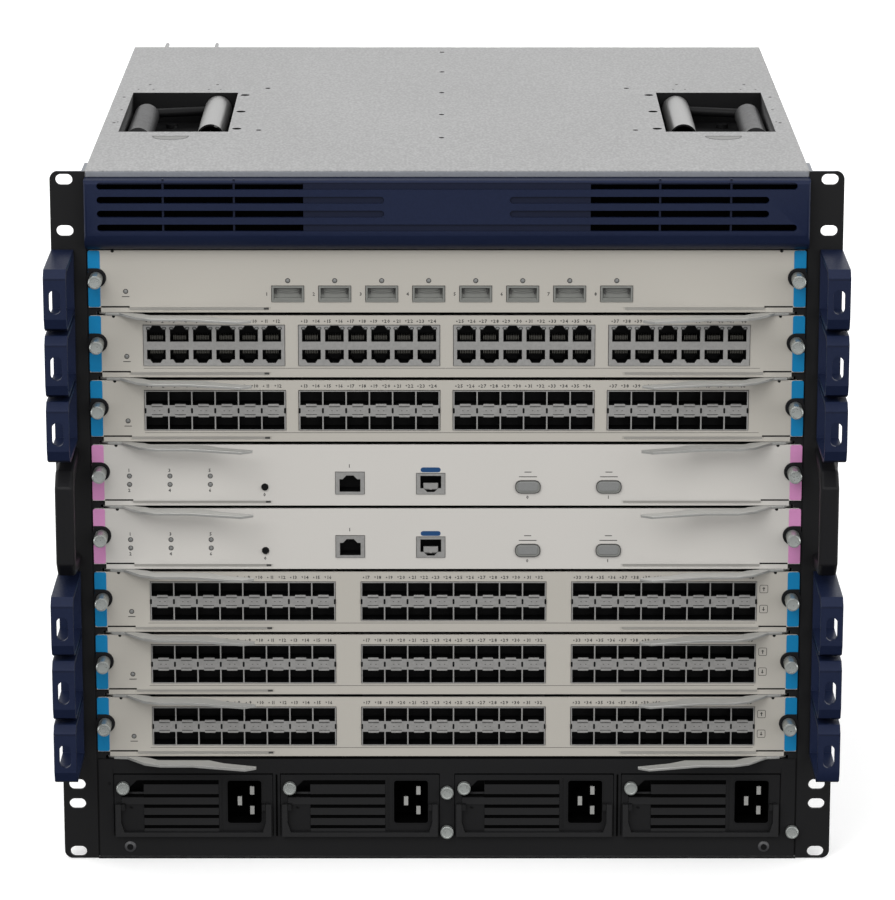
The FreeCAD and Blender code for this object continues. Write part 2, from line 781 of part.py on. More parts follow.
def front_bezel():
    """Moulded hood with rows of air slots, hollow behind."""
    body = body_of("front_bezel")
    half = "case_wide / 2"
    reach = "-bezel_reach"
    add(body, "side", f"-{half}", half, (outline, [
        ("face_sheet", "bezel_base"), ("face_sheet", "bezel_top"), (f"{reach} + bezel_brow", "bezel_top"),
        (reach, "bezel_top - bezel_brow"), (reach, "bezel_base + bezel_chin"),
        (f"{reach} + bezel_tuck / 3", "bezel_base + bezel_chin / 2"), (f"{reach} + bezel_tuck", "bezel_base + bezel_brow"),
        ("0", "bezel_base"),
    ]))
    soften(body, "bezel_brow", lambda edge: along(edge, "z") and abs(edge.Vertexes[0].Y + number("bezel_reach")) < 0.01)
    inner = f"({half} - bezel_wall)"
    hollow = cut(body, "side", f"-{inner}", inner, (outline, [
        ("face_sheet", "bezel_base + 2 * bezel_wall"), ("face_sheet", "bezel_top - bezel_wall"),
        (f"{reach} + bezel_wall", "bezel_top - bezel_wall"), (f"{reach} + bezel_wall", "bezel_base + bezel_chin"),
        (f"{reach} + bezel_wall + bezel_tuck / 2", "bezel_base + 2 * bezel_wall"),
    ]))
    # each row is one groove with round ends; its outer stretch is open to the hollow
    grooves, slots, ends = [], [], []
    for row in range(VENT_ROWS):
        middle = f"vent_row_base + {row} * vent_row_step"
        z = (f"{middle} - vent_tall / 2", f"{middle} + vent_tall / 2")
        outermost = row in (0, VENT_ROWS - 1)
        right = "vent_outer" if outermost else "vent_short"
        if outermost:
            grooves.append((pill, "-vent_outer", right, *z))
        else:
            grooves += [(pill, "-vent_outer", "-groove_inner", *z), (pill, "groove_inner", right, *z)]
        slots += [(box, "-vent_outer + vent_tall / 2", "-vent_inner", *z),
                  (box, "vent_inner", f"{right} - vent_tall / 2", *z)]
        ends += [(disc, "-vent_outer + vent_tall / 2", middle, "vent_tall"),
                 (disc, f"{right} - vent_tall / 2", middle, "vent_tall")]
    cut(body, "front", reach, f"{reach} + groove_deep", *grooves)
    cut(body, "front", reach, f"{reach} + bezel_wall", *slots)
    cut(body, "front", reach, f"{reach} + bezel_wall", *ends)
    ribs = []
    for x in ("-rib_far", "-rib_near", "rib_near", "rib_far"):
        ribs.append((box, f"{x} - rib_thick / 2", f"{x} + rib_thick / 2",
                     "vent_row_base - vent_tall",
                     f"vent_row_base + {VENT_ROWS - 1} * vent_row_step + vent_tall"))
    add(body, "front", f"{reach} + groove_deep", f"{reach} + bezel_wall + rib_thick", *ribs)


# ---------------------------------------------------------------- cards
def card_level(index):
    return f"card_base + {CARDS - index} * card_pitch"


def port_blocks(kind):
    """Port blocks of a card as (left, width, base, height) and how they repeat."""
    if kind == "jack":
        return [(f"jack_start + {i} * jack_step", "jack_wide", "board_lift", "jack_tall") for i in range(4)]
    if kind == "six":
        return [(f"six_start + {i} * six_step", "six_wide", "board_lift", "lane_tall") for i in range(4)]
    if kind == "eight":
        return [(f"eight_start + {i} * eight_step", "eight_wide", "board_lift", "lane_tall") for i in range(3)]
    if kind == "quad":
        return [(f"quad_start + {i} * quad_step", "quad_wide", "quad_board_lift", "quad_tall") for i in range(8)]
    return [("wired_x", "wired_wide", "board_lift", "wired_tall"),
            ("serial_x", "serial_wide", "board_lift", "serial_tall")]


KINDS = {1: "quad", 2: "jack", 3: "six", 4: "supervisor", 5: "supervisor", 6: "eight", 7: "eight", 8: "eight"}


def card_panel(index):
    """Folded face and tray of one card, with its captive thumbscrews and lever pins."""
    kind = KINDS[index]
    body = body_of(f"card_{index}_panel", z=card_level(index))
    add(body, "front", "0", "face_sheet", (box, "-face_wide / 2", "face_wide / 2", "0", "face_tall"))
    soften(body, "face_sheet", lambda edge: along(edge, "y"))
    tray = "tray_wide / 2"
    add(body, "plan", "0", "tray_sheet", (box, f"-{tray}", tray, "face_sheet / 2", "tray_deep"))
    add(body, "plan", "tray_sheet", "tray_sheet + tray_wall",
        (box, f"-{tray}", f"-{tray} + tray_sheet", "board_front", "tray_deep"),
        (box, f"{tray} - tray_sheet", tray, "board_front", "tray_deep"))
    lift = "quad_board_lift" if kind == "quad" else "board_lift"
    posts = [(outline, hexagon(x, y, "post_wide")) for x in ("-post_x", "post_x") for y in ("post_front", "post_back")]
    add(body, "plan", "tray_sheet", f"{lift} - board_sheet", *posts)
    openings = []
    for left, wide, base, tall in port_blocks(kind):
        openings.append((box, f"{left} - cage_gap", f"{left} + {wide} + cage_gap",
                         f"{base} - cage_gap", f"{base} + {tall} + cage_gap"))
    for sign in (-1, 1):
        openings.append((box, f"{sign} * face_wide / 2", f"{sign} * (face_wide / 2 - corner_wide)", "0", "corner_tall"))
    if kind == "supervisor":
        openings.append((disc, "button_x", "button_lift", "button_wide + 2 * button_play"))
    cut(body, "front", "0", "face_sheet", *openings)
    cut(body, "front", "0", "relief_deep", *[
        (box, f"{sign} * relief_inner", f"{sign} * relief_outer", "tray_sheet", "corner_tall") for sign in (-1, 1)])
    if kind == "supervisor":
        covers = [(pill, f"cover_x + {i} * cover_step - cover_wide / 2", f"cover_x + {i} * cover_step + cover_wide / 2",
                   "cover_lift - cover_tall / 2", "cover_lift + cover_tall / 2") for i in range(2)]
        add(body, "front", "-cover_thick", "0", *covers)
    for sign in (-1, 1):
        x = f"{sign} * knob_x"
        add(body, "front", "-holder_thick", "0", (disc, x, "knob_lift", "2 * holder_round"))
        add(body, "front", "-holder_thick", "0",
            (box, x, f"{sign} * face_wide / 2", "knob_lift - holder_round", "knob_lift + holder_round"))
        knob(body, x, "knob_lift", "knob_wide", "knob_long", "knob_neck", "knob_neck_wide")
        add(body, "front", "face_sheet", "knob_depth", (disc, x, "knob_lift", "knob_shank"))
        add(body, "plan", "-(lever_gap + lever_sheet)", "0", (disc, f"{sign} * pivot_x", "pivot_y", "pin_wide"))


def card_board(index):
    """Circuit board with port blocks, two heat sinks and the plugs that meet the backplane."""
    kind = KINDS[index]
    body = body_of(f"card_{index}_board", z=card_level(index))
    lift = "quad_board_lift" if kind == "quad" else "board_lift"
    add(body, "plan", f"{lift} - board_sheet", lift,
        (box, "-board_wide / 2", "board_wide / 2", "board_front", "board_back"))
    blocks = [(box, left, f"{left} + {wide}", base, f"{base} + {tall}") for left, wide, base, tall in port_blocks(kind)]
    add(body, "front", "-cage_proud", "cage_deep", *blocks)
    pits(body, kind)
    add(body, "plan", lift, f"{lift} + sink_tall", *[
        (box, f"{x} - sink_wide / 2", f"{x} + sink_wide / 2", "sink_front", "sink_front + sink_deep")
        for x in ("-sink_x", "sink_x")])
    plug = add(body, "plan", lift, f"{lift} + plug_tall",
               (box, "-2.5 * plug_step - plug_wide / 2", "-2.5 * plug_step + plug_wide / 2",
                "plug_back - plug_long", "plug_back"))
    repeat(body, plug, "X_Axis", "plug_step", 6)


def pits(body, kind):
    """Openings of the ports."""
    back = "-cage_proud + pit_deep"
    if kind == "jack":
        left = "jack_start + (jack_wide - 5 * jack_pitch - jack_hole) / 2"
        low = keyed(left, "jack_hole", "board_lift + jack_low", "jack_low_tall", "jack_key", "jack_key_tip", "-jack_key_tall")
        high = keyed(left, "jack_hole", "board_lift + jack_high", "jack_high_tall", "jack_key", "jack_key_tip", "jack_key_tall")
        pit = cut(body, "front", "-cage_proud", back, (outline, low), (outline, high))
        repeat(body, pit, "X_Axis", "jack_pitch", 6, ("X_Axis", "jack_step", 4))
    elif kind in ("six", "eight"):
        count, blocks = (6, 4) if kind == "six" else (8, 3)
        left = f"{kind}_start + ({kind}_wide - {count - 1} * lane_pitch - lane_hole) / 2"
        pit = cut(body, "front", "-cage_proud", back, *[
            (box, left, f"{left} + lane_hole", f"board_lift + {low}", f"board_lift + {low} + {tall}")
            for low, tall in (("lane_low", "lane_low_tall"), ("lane_high", "lane_high_tall"))])
        repeat(body, pit, "X_Axis", "lane_pitch", count, ("X_Axis", f"{kind}_step", blocks))
    elif kind == "quad":
        dent = cut(body, "front", "-cage_proud", "-cage_proud + quad_dent",
                   (box, "quad_start + quad_rim", "quad_start + quad_wide - quad_rim",
                    "quad_board_lift + quad_rim", "quad_board_lift + quad_tall - quad_rim"))
        repeat(body, dent, "X_Axis", "quad_step", 8)
    else:
        wired = keyed("wired_x + (wired_wide - wired_hole) / 2", "wired_hole", "board_lift + wired_low",
                      "wired_hole_tall", "wired_key", "wired_key_tip", "wired_key_tall")
        serial = keyed("serial_x + (serial_wide - wired_hole) / 2", "wired_hole", "board_lift + serial_low",
                       "wired_hole_tall", "wired_key", "wired_key_tip", "-wired_key_tall")
        cut(body, "front", "-cage_proud", back, (outline, wired), (outline, serial))


def keyed(left, wide, base, tall, key, tip, rise):
    """A port mouth with a tapered key slot above it, or below it where the rise is negative."""
    right, middle = f"{left} + {wide}", f"{left} + {wide} / 2"
    if rise.startswith("-"):
        edge, far = base, f"{base} + {tall}"
    else:
        edge, far = f"{base} + {tall}", base
    return [(left, far), (left, edge), (f"{middle} - {key} / 2", edge), (f"{middle} - {tip} / 2", f"{edge} + {rise}"),
            (f"{middle} + {tip} / 2", f"{edge} + {rise}"), (f"{middle} + {key} / 2", edge), (right, edge), (right, far)]


def ejector(index, side, sign):
    """Flat lever with a curved handle in front of the face and a claw behind it."""
    body = body_of(f"card_{index}_ejector_{side}", x=f"{sign} * pivot_x", y="pivot_y", z=card_level(index))
    # points run from the outer front root to the tip and back to the claw,
    # as (distance inward from the pivot, distance forward of the face)
    reach = "(pivot_x - lever_tip)"
    route = [
        ("-4", "0"), ("4.5", "1"), ("16", "13"), ("26", "16.8"), (f"{reach} - 40", "16.8"),
        (f"{reach} - 20", "21.7"), (f"{reach} - 7", "24.7"), (reach, "21"), (reach, "19.4"),
        (f"{reach} - 20", "13.4"), (f"{reach} - 30", "7.4"), ("24", "7"), ("19", "3"),
        ("11", "0"), ("6", "-pivot_y - 4"), ("-6", "-pivot_y - 4"), ("-8.2", "-pivot_y + 2"), ("-4", "-face_sheet"),
    ]
    add(body, "plan", "-(lever_gap + lever_sheet)", "-lever_gap",
        (outline, [(f"{-sign} * ({x})", f"-pivot_y - ({y})") for x, y in route]))
    bore = cut(body, "plan", "-(lever_gap + lever_sheet)", "-lever_gap", (disc, "0", "0", "pin_wide + 2 * pin_play"))


def function_button(index):
    """Push button that slides in the face, held by a collar behind it."""
    body = body_of(f"card_{index}_button", x="button_x", z=f"{card_level(index)} + button_lift")
    add(body, "front", "-button_proud", "button_long - button_proud", (disc, "0", "0", "button_wide"))
    add(body, "front", "face_sheet", "face_sheet + 1", (disc, "0", "0", "button_collar"))


# ---------------------------------------------------------------- power
def supply_left(column):
    """Left edge of one power supply."""
    middle = ("-supply_inner - supply_step", "-supply_inner", "supply_inner", "supply_inner + supply_step")[column]
    return f"({middle} - supply_wide / 2)"


def power_bay():
    """Black face with four bays and the sheet cells behind it."""
    body = body_of("psu_bay_frame")
    face = "face_wide / 2"
    inner = "(case_wide / 2 - case_sheet)"
    add(body, "front", "0", "face_sheet", (box, f"-{face}", face, "power_base", "power_top"))
    add(body, "front", "face_sheet", "bay_deep",
        (box, f"-{inner}", inner, "bay_floor - bay_sheet", "power_top"))
    bays = []
    for column in range(SUPPLIES):
        left = supply_left(column)
        bays.append((box, f"{left} - supply_play", f"{left} + supply_wide + supply_play",
                     "bay_floor", "bay_floor + bay_tall"))
    cut(body, "front", "0", "bay_deep", *bays)
    cut(body, "front", "face_sheet", "bay_deep",
        (box, f"-{inner} + bay_sheet", f"{inner} - bay_sheet", "bay_floor + bay_tall + bay_sheet", "power_top - bay_sheet"))
    for x, z in (("0", "frame_knob_high"), ("0", "frame_knob_low"), ("frame_knob_side", "frame_knob_low")):
        knob(body, x, z, "power_knob_wide", "power_knob_long", "power_knob_neck", "knob_neck_wide")


def power_supply(column):
    """Hot-swap supply: louvred grille, mains inlet, thumbscrew and lugs for its bail."""
    body = body_of(f"psu_{column + 1}_module", x=supply_left(column), z="bay_floor + supply_lift")
    add(body, "front", "0", "supply_deep", (box, "0", "supply_wide", "0", "supply_tall"))
    cut(body, "front", "0", "grille_deep",
        (box, "grille_left", "grille_right", "grille_base", "grille_base + grille_tall"))
    # the fourth louvre runs on to the left, and the recess above it curves round the thumbscrew
    row = "(grille_base + 3 * slat_step)"
    cut(body, "front", "0", "grille_deep", (outline, [
        ("grille_left", "grille_base + grille_tall"), ("notch_left + notch_reach", "grille_base + grille_tall"),
        ("notch_left + 0.7 * notch_reach", f"{row} + 1.6 * slat_step"),
        ("notch_left + 0.4 * notch_reach", f"{row} + 1.2 * slat_step"), ("notch_left", f"{row} + slat_step"),
        ("notch_left", row), ("grille_left", row),
    ]))
    slat = add(body, "side", "grille_left", "grille_right", (outline, louvre("grille_base")))
    repeat(body, slat, "Z_Axis", "slat_step", 5)
    add(body, "side", "notch_left", "grille_left", (outline, louvre(row)))
    cut(body, "front", "0", "inlet_deep",
        (box, "inlet_left", "inlet_left + inlet_wide", "inlet_base", "inlet_base + inlet_tall"))
    middle = "inlet_left + inlet_wide / 2"
    blades = [("blade_x", "blade_base"), ("blade_x", "blade_base + blade_step"), ("earth_x", "earth_base")]
    add(body, "front", "inlet_deep - blade_long", "inlet_deep", *[
        (box, f"{x} - blade_wide / 2", f"{x} + blade_wide / 2", z, f"{z} + blade_tall") for x, z in blades])
    knob(body, "power_knob_x", "power_knob_lift", "power_knob_wide", "power_knob_long", "power_knob_neck",
         "knob_neck_wide")
    # a lug on each side carries the pin that the bail turns on
    inset = "(bail_side + bail_arm)"
    for low, high, pin_low, pin_high in (
        (f"{inset} + 0.3", f"{inset} + 0.3 + lug_thick", "bail_side", f"{inset} + 0.3"),
        (f"supply_wide - {inset} - 0.3 - lug_thick", f"supply_wide - {inset} - 0.3",
         f"supply_wide - {inset} - 0.3", "supply_wide - bail_side"),
    ):
        add(body, "front", "-(bail_gap + bail_thick)", "0",
            (box, low, high, "bail_pivot - bail_pin", "bail_pivot + bail_pin"))
        add(body, "side", pin_low, pin_high,
            (disc, "-(bail_gap + bail_thick / 2)", "bail_pivot", "bail_pin - 0.6"))


def louvre(base):
    """Section of one slat that leans back from its lower edge."""
    return [("0", f"{base} + slat_gap"), ("slat_thick", f"{base} + slat_gap"),
            ("slat_thick + slat_lean", f"{base} + slat_tall"), ("slat_lean", f"{base} + slat_tall")]


def supply_bail(column):
    """Drop handle of a supply: a U of flat bar that hangs over its lower edge."""
    body = body_of(f"psu_{column + 1}_handle", x=supply_left(column), z="bay_floor + supply_lift")
    wide = "supply_wide - bail_side"
    top = "bail_pivot + bail_pin"
    add(body, "front", "-(bail_gap + bail_thick)", "-bail_gap", (outline, [
        ("bail_side", top), ("bail_side", "bail_base"), (wide, "bail_base"), (wide, top),
        (f"{wide} - bail_arm", top), (f"{wide} - bail_arm", "bail_pivot / 2"),
        (f"{wide} - 1.6 * bail_arm", "bail_base + bail_bar"), ("bail_side + 1.6 * bail_arm", "bail_base + bail_bar"),
        ("bail_side + bail_arm", "bail_pivot / 2"), ("bail_side + bail_arm", top),
    ]))
    bore = cut(body, "side", "0", "supply_wide",
               (disc, "-(bail_gap + bail_thick / 2)", "bail_pivot", "bail_pin - 0.6 + 2 * pin_play"))


# ---------------------------------------------------------------- rear
def backplane():
    """Board across the back of the card cage with a row of sockets for each card."""
    body = body_of("backplane")
    front = "plug_back + socket_deep"
    add(body, "front", front, f"{front} + plane_sheet",
        (box, "-plane_wide / 2", "plane_wide / 2", "plane_base", "plane_top"))
    for index in range(1, CARDS + 1):
        lift = "quad_board_lift" if KINDS[index] == "quad" else "board_lift"
        base = f"{card_level(index)} + {lift}"
        row = add(body, "front", "plug_back", front,
                  (box, "-2.5 * plug_step - plug_wide / 2", "-2.5 * plug_step + plug_wide / 2",
                   base, f"{base} + plug_tall"))
        repeat(body, row, "X_Axis", "plug_step", 6)


def fan_tray(side, sign):
    """Pull-out frame with two fan positions, guards, a pull and the motor shafts."""
    body = body_of("fan_tray_" + side, x=f"{sign} * fan_x", z="fan_base")
    half = "fan_wide / 2"
    add(body, "front", "fan_front", "case_deep", (box, f"-{half}", half, "0", "fan_tall"))
    cut(body, "front", "fan_front", "case_deep",
        (box, f"-{half} + fan_sheet", f"{half} - fan_sheet", "fan_sheet", "fan_tall - fan_sheet"))
    add(body, "front", "case_deep", "case_deep + fan_face",
        (box, f"-{half} - fan_margin", f"{half} + fan_margin", "-fan_margin", "fan_tall + fan_margin"))
    for level in ("fan_low", "fan_low + fan_step"):
        slots = []
        for row in range(GUARD_ROWS):
            low = f"({row - GUARD_ROWS / 2} * guard_step + (guard_step - guard_slot) / 2)"
            middle = f"({low} + guard_slot / 2)"
            reach = f"sqrt((fan_bore / 2) ^ 2 - {middle} ^ 2)"
            crossed = abs(number(middle)) < number("hub_wide / 2 + guard_slot")
            start = "hub_wide / 2 + guard_slot" if crossed else "guard_rib / 2"
            z = (f"{level} + {low}", f"{level} + {low} + guard_slot")
            slots += [(box, f"-{reach}", f"-({start})", *z), (box, start, reach, *z)]
        cut(body, "front", "case_deep", "case_deep + fan_face", *slots)
        add(body, "front", "case_deep - motor_long", "case_deep", (disc, "0", level, "hub_wide"))
        add(body, "front", "case_deep - motor_long - hub_gap - hub_long", "case_deep - motor_long",
            (disc, "0", level, "shaft_wide"))
    grip = "pull_wide / 2"
    add(body, "plan", "fan_tall / 2 - pull_thick / 2", "fan_tall / 2 + pull_thick / 2", (outline, [
        (f"-{grip}", "case_deep + fan_face"), (f"-{grip}", "case_deep + fan_face + pull_reach"),
        (grip, "case_deep + fan_face + pull_reach"), (grip, "case_deep + fan_face"),
        (f"{grip} - pull_thick", "case_deep + fan_face"),
        (f"{grip} - pull_thick", "case_deep + fan_face + pull_reach - pull_thick"),
        (f"-{grip} + pull_thick", "case_deep + fan_face + pull_reach - pull_thick"),
        (f"-{grip} + pull_thick", "case_deep + fan_face"),
    ]))


def fan_rotor(side, sign, name, level):
    """Hub on the motor shaft with cambered vanes."""
    back = "case_deep - motor_long - hub_gap"
    body = body_of(f"fan_rotor_{side}_{name}", x=f"{sign} * fan_x", y=f"{back} - hub_long", z=f"fan_base + {level}")
    add(body, "front", "0", "hub_long", (disc, "0", "0", "hub_wide"))
    vane = add(body, "side", "vane_root", "vane_reach", (outline, [
        ("vane_inset", "-vane_sweep"), ("vane_inset + vane_thick", "-vane_sweep"),
        ("vane_inset + vane_thick + vane_camber", "0"), ("vane_inset + vane_deep", "vane_sweep"),
        ("vane_inset + vane_deep - vane_thick", "vane_sweep"), ("vane_inset + vane_camber", "0"),
    ]))
    spin(body, vane, "Y_Axis", VANES)
    cut(body, "front", "0", "hub_long", (disc, "0", "0", "shaft_wide + 2 * shaft_play"))


# ---------------------------------------------------------------- assembly
chassis_shell()
backplane()
front_bezel()
power_bay()
for side, sign in SIDES:
    rack_ear(side, sign)
    cable_guides(side, sign)
    carry_handle(side, sign)
    lifting_handle(side, sign)
    fan_tray(side, sign)
    fan_rotor(side, sign, "lower", "fan_low")
    fan_rotor(side, sign, "upper", "fan_low + fan_step")
for index in range(1, CARDS + 1):
    card_panel(index)
    card_board(index)
    for side, sign in SIDES:
        ejector(index, side, sign)
for index in SUPERVISORS:
    function_button(index)
for column in range(SUPPLIES):
    power_supply(column)
    supply_bail(column)
for item in parts.values():
    if item.TypeId == "PartDesign::Body":
        item.Tip.Refine = True
doc.recompute()

# ---------------------------------------------------------------- checks and export
for item in doc.Objects:
    assert not {"Invalid", "Error"} & set(item.State), f"{item.Label} failed: {item.State}"
    if item.TypeId == "PartDesign::Pocket":
        before = item.BaseFeature.Shape.Volume
        assert item.Shape.Volume < before - 1e-3, f"{item.Label} removes nothing"
for label, item in parts.items():
    assert not item.Shape.isNull() and item.Shape.isValid(), f"{label} is not a sound solid"
    wanted = 2 if label.startswith("cable_guides") else 1
    assert len(item.Shape.Solids) == wanted, f"{label} has {len(item.Shape.Solids)} solids"

os.makedirs("parts", exist_ok=True)
for label, item in parts.items():
    item.Shape.exportStep(f"parts/{label}.step")
    print(label, [round(value, 1) for value in (
        item.Shape.BoundBox.XMin, item.Shape.BoundBox.XMax, item.Shape.BoundBox.YMin,
        item.Shape.BoundBox.YMax, item.Shape.BoundBox.ZMin, item.Shape.BoundBox.ZMax)])
print(len(parts), "sub-parts")
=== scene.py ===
# %% [markdown]
# A ten-unit modular chassis switch is a folded steel case that stands in a
# nineteen-inch rack and takes eight plug-in cards and four supplies from the
# front.  Every solid of it comes in as a fixed frame, already at its real size
# and place.  Here the solids get their finish, and the small things that are
# too fine for a solid, such as lamps, printed marks and contacts, are added.

# %% Load the frame and keep its box
import json
import math
import bmesh
import bpy
import numpy as np
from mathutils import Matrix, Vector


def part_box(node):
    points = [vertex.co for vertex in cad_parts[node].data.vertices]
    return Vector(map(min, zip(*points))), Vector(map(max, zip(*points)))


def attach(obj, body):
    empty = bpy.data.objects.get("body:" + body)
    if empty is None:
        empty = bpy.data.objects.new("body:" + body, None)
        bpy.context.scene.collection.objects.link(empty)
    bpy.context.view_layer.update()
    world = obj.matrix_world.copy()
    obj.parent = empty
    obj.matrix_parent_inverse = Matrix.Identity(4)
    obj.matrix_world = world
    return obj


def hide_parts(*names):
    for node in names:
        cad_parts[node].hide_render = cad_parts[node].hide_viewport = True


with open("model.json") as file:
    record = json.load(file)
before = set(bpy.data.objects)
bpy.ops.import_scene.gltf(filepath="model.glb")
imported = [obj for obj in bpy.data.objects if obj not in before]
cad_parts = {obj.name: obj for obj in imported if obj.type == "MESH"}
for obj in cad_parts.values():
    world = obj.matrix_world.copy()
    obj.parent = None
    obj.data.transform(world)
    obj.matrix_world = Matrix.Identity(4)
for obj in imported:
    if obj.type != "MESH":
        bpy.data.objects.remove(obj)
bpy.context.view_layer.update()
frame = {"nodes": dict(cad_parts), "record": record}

BODY = {node: body for body, nodes in frame["record"]["behaviour"]["bodies"].items() for node in nodes}
MM = 0.001
SIDES = {"left": -1, "right": 1}

# %% [markdown]
# The camera stands well back from the case on a long lens and looks slightly
# down: the front stays almost square, and the top cover shows as a flat band.
# A short lens from nearby would fit the case too, but its edges would splay.
# Depth of field stays off, because a product is shown sharp all over.

# %% Camera
TILT = math.radians(14.802)
eye = bpy.data.cameras.new("eye")
eye.sensor_width = 36.0
eye.lens = 177.133
eye.clip_end = 100.0
camera = bpy.data.objects.new("camera", eye)
camera.location = (0.00031, -2.6397, 0.9645)
camera.rotation_euler = (math.pi / 2 - TILT, 0, 0)
bpy.context.scene.collection.objects.link(camera)
bpy.context.scene.camera = camera
print("camera height", camera.location.z)

# %% [markdown]
# The floor is a sheet of white paper.  Black paint would turn grey over a
# glowing floor, so the paper is hidden from bounced and mirrored rays: it is
# seen, and takes the shadow, but sends no light up.

# %% Floor
def grid_faces(rows, columns):
    """Quads of a grid of points: each point with its neighbours in the next row and column."""
    first = (np.arange(rows - 1)[:, None] * columns + np.arange(columns - 1)).ravel()
    return np.stack([first, first + 1, first + columns + 1, first + columns], 1)


def srgb(red, green, blue):
    """Screen colour from 0 to 255 as linear light: the power curve of the standard."""
    part = np.array([red, green, blue]) / 255
    return tuple(np.where(part > 0.04045, ((part + 0.055) / 1.055) ** 2.4, part / 12.92)) + (1.0,)


FLOOR_REACH = 9.0
floor_mesh = bpy.data.meshes.new("floor")
corners = np.array([(-1, -1), (1, -1), (-1, 1), (1, 1)]) * FLOOR_REACH
floor_mesh.from_pydata(np.c_[corners, np.zeros(4)].tolist(), [], grid_faces(2, 2).tolist())
floor = bpy.data.objects.new("floor", floor_mesh)
bpy.context.scene.collection.objects.link(floor)
paper = bpy.data.materials.new("paper")
paper.use_nodes = True
for socket, value in (("Base Color", srgb(252, 252, 252)), ("Roughness", 0.9),
                      ("Emission Color", (1.0, 1.0, 1.0, 1.0)), ("Emission Strength", 0.2)):
    paper.node_tree.nodes["Principled BSDF"].inputs[socket].default_value = value
floor_mesh.materials.append(paper)
floor.visible_diffuse = False
floor.visible_glossy = False
print("floor reaches", FLOOR_REACH, "m each way")

# %% [markdown]
# A studio for bare metal is a white room.  The surround is even white above
# and fades to grey below the horizon, for the same reason as the floor.  A
# picture of a real room could light the case too, but its windows would show
# as streaks in the flat sheet.

# %% Surround
world = bpy.data.worlds.new("surround")
bpy.context.scene.world = world
world.use_nodes = True
sky, sky_links = world.node_tree.nodes, world.node_tree.links
sky["Background"].inputs["Color"].default_value = (1.0, 1.0, 1.0, 1.0)
heading = sky.new("ShaderNodeTexCoord")
parts = sky.new("ShaderNodeSeparateXYZ")
fade = sky.new("ShaderNodeMapRange")
for socket, value in (("From Min", -0.45), ("From Max", -0.06), ("To Min", 0.12), ("To Max", 1.0)):
    fade.inputs[socket].default_value = value
sky_links.new(heading.outputs["Generated"], parts.inputs["Vector"])
sky_links.new(parts.outputs["Z"], fade.inputs["Value"])
sky_links.new(fade.outputs["Result"], sky["Background"].inputs["Strength"])
bpy.context.scene.view_settings.view_transform = "Standard"
bpy.context.scene.view_settings.look = "None"
print("surround fades by", [node.name for node in sky])

# %% [markdown]
# Large soft panels of light stand around the case, so that flat sheet shows its
# shape by slow changes of tone and never by a hard spot.  Two low ones at the
# sides and one behind are there for the views from those places.

# %% Lights
PANELS = (  # name, place, target, size in metres, power in watts
    ("key", (-1.3, -2.6, 2.6), (0, 0.1, 0.25), 2.0, 54),
    ("fill", (1.8, -2.2, 1.2), (0, 0.1, 0.2), 2.2, 18),
    ("top", (0.0, 0.9, 2.9), (0, 0.2, 0.4), 1.8, 6),
    ("side", (-2.9, 0.5, 0.05), (0, 0.25, 0.2), 0.9, 12),
    ("side", (2.9, 0.5, 0.05), (0, 0.25, 0.2), 0.9, 12),
    ("rear", (0.3, 3.3, 0.05), (0, 0.3, 0.2), 0.9, 15),
)


def panel_light(name, place, target, size, power):
    """A square soft panel that faces its target."""
    light = bpy.data.lights.new(name, "AREA")
    light.shape = "SQUARE"
    light.size = size
    light.energy = power
    item = bpy.data.objects.new(name, light)
    item.location = place
    aim = np.array(target) - np.array(place)
    flat = math.hypot(aim[0], aim[1])
    item.rotation_euler = (math.atan2(flat, -aim[2]), 0, math.atan2(-aim[0], aim[1]))
    bpy.context.scene.collection.objects.link(item)


for panel in PANELS:
    panel_light(*panel)

# %% [markdown]
# Every finish is a Principled surface whose colour, roughness and relief drift
# with noise on object coordinates.  One helper makes them, because powder
# coat, moulded plastic and rolled sheet differ in their numbers and not in
# their kind.  Noise in space needs no unwrapped surface, and it stays with a
# piece when the piece moves.

# %% Finish helper
FINISH = {}
NOISE_LOW, NOISE_HIGH = 0.35, 0.65  # most of a noise lies between these
BROAD_GRAIN = 9.0
RELIEF_DEPTH = 0.0003


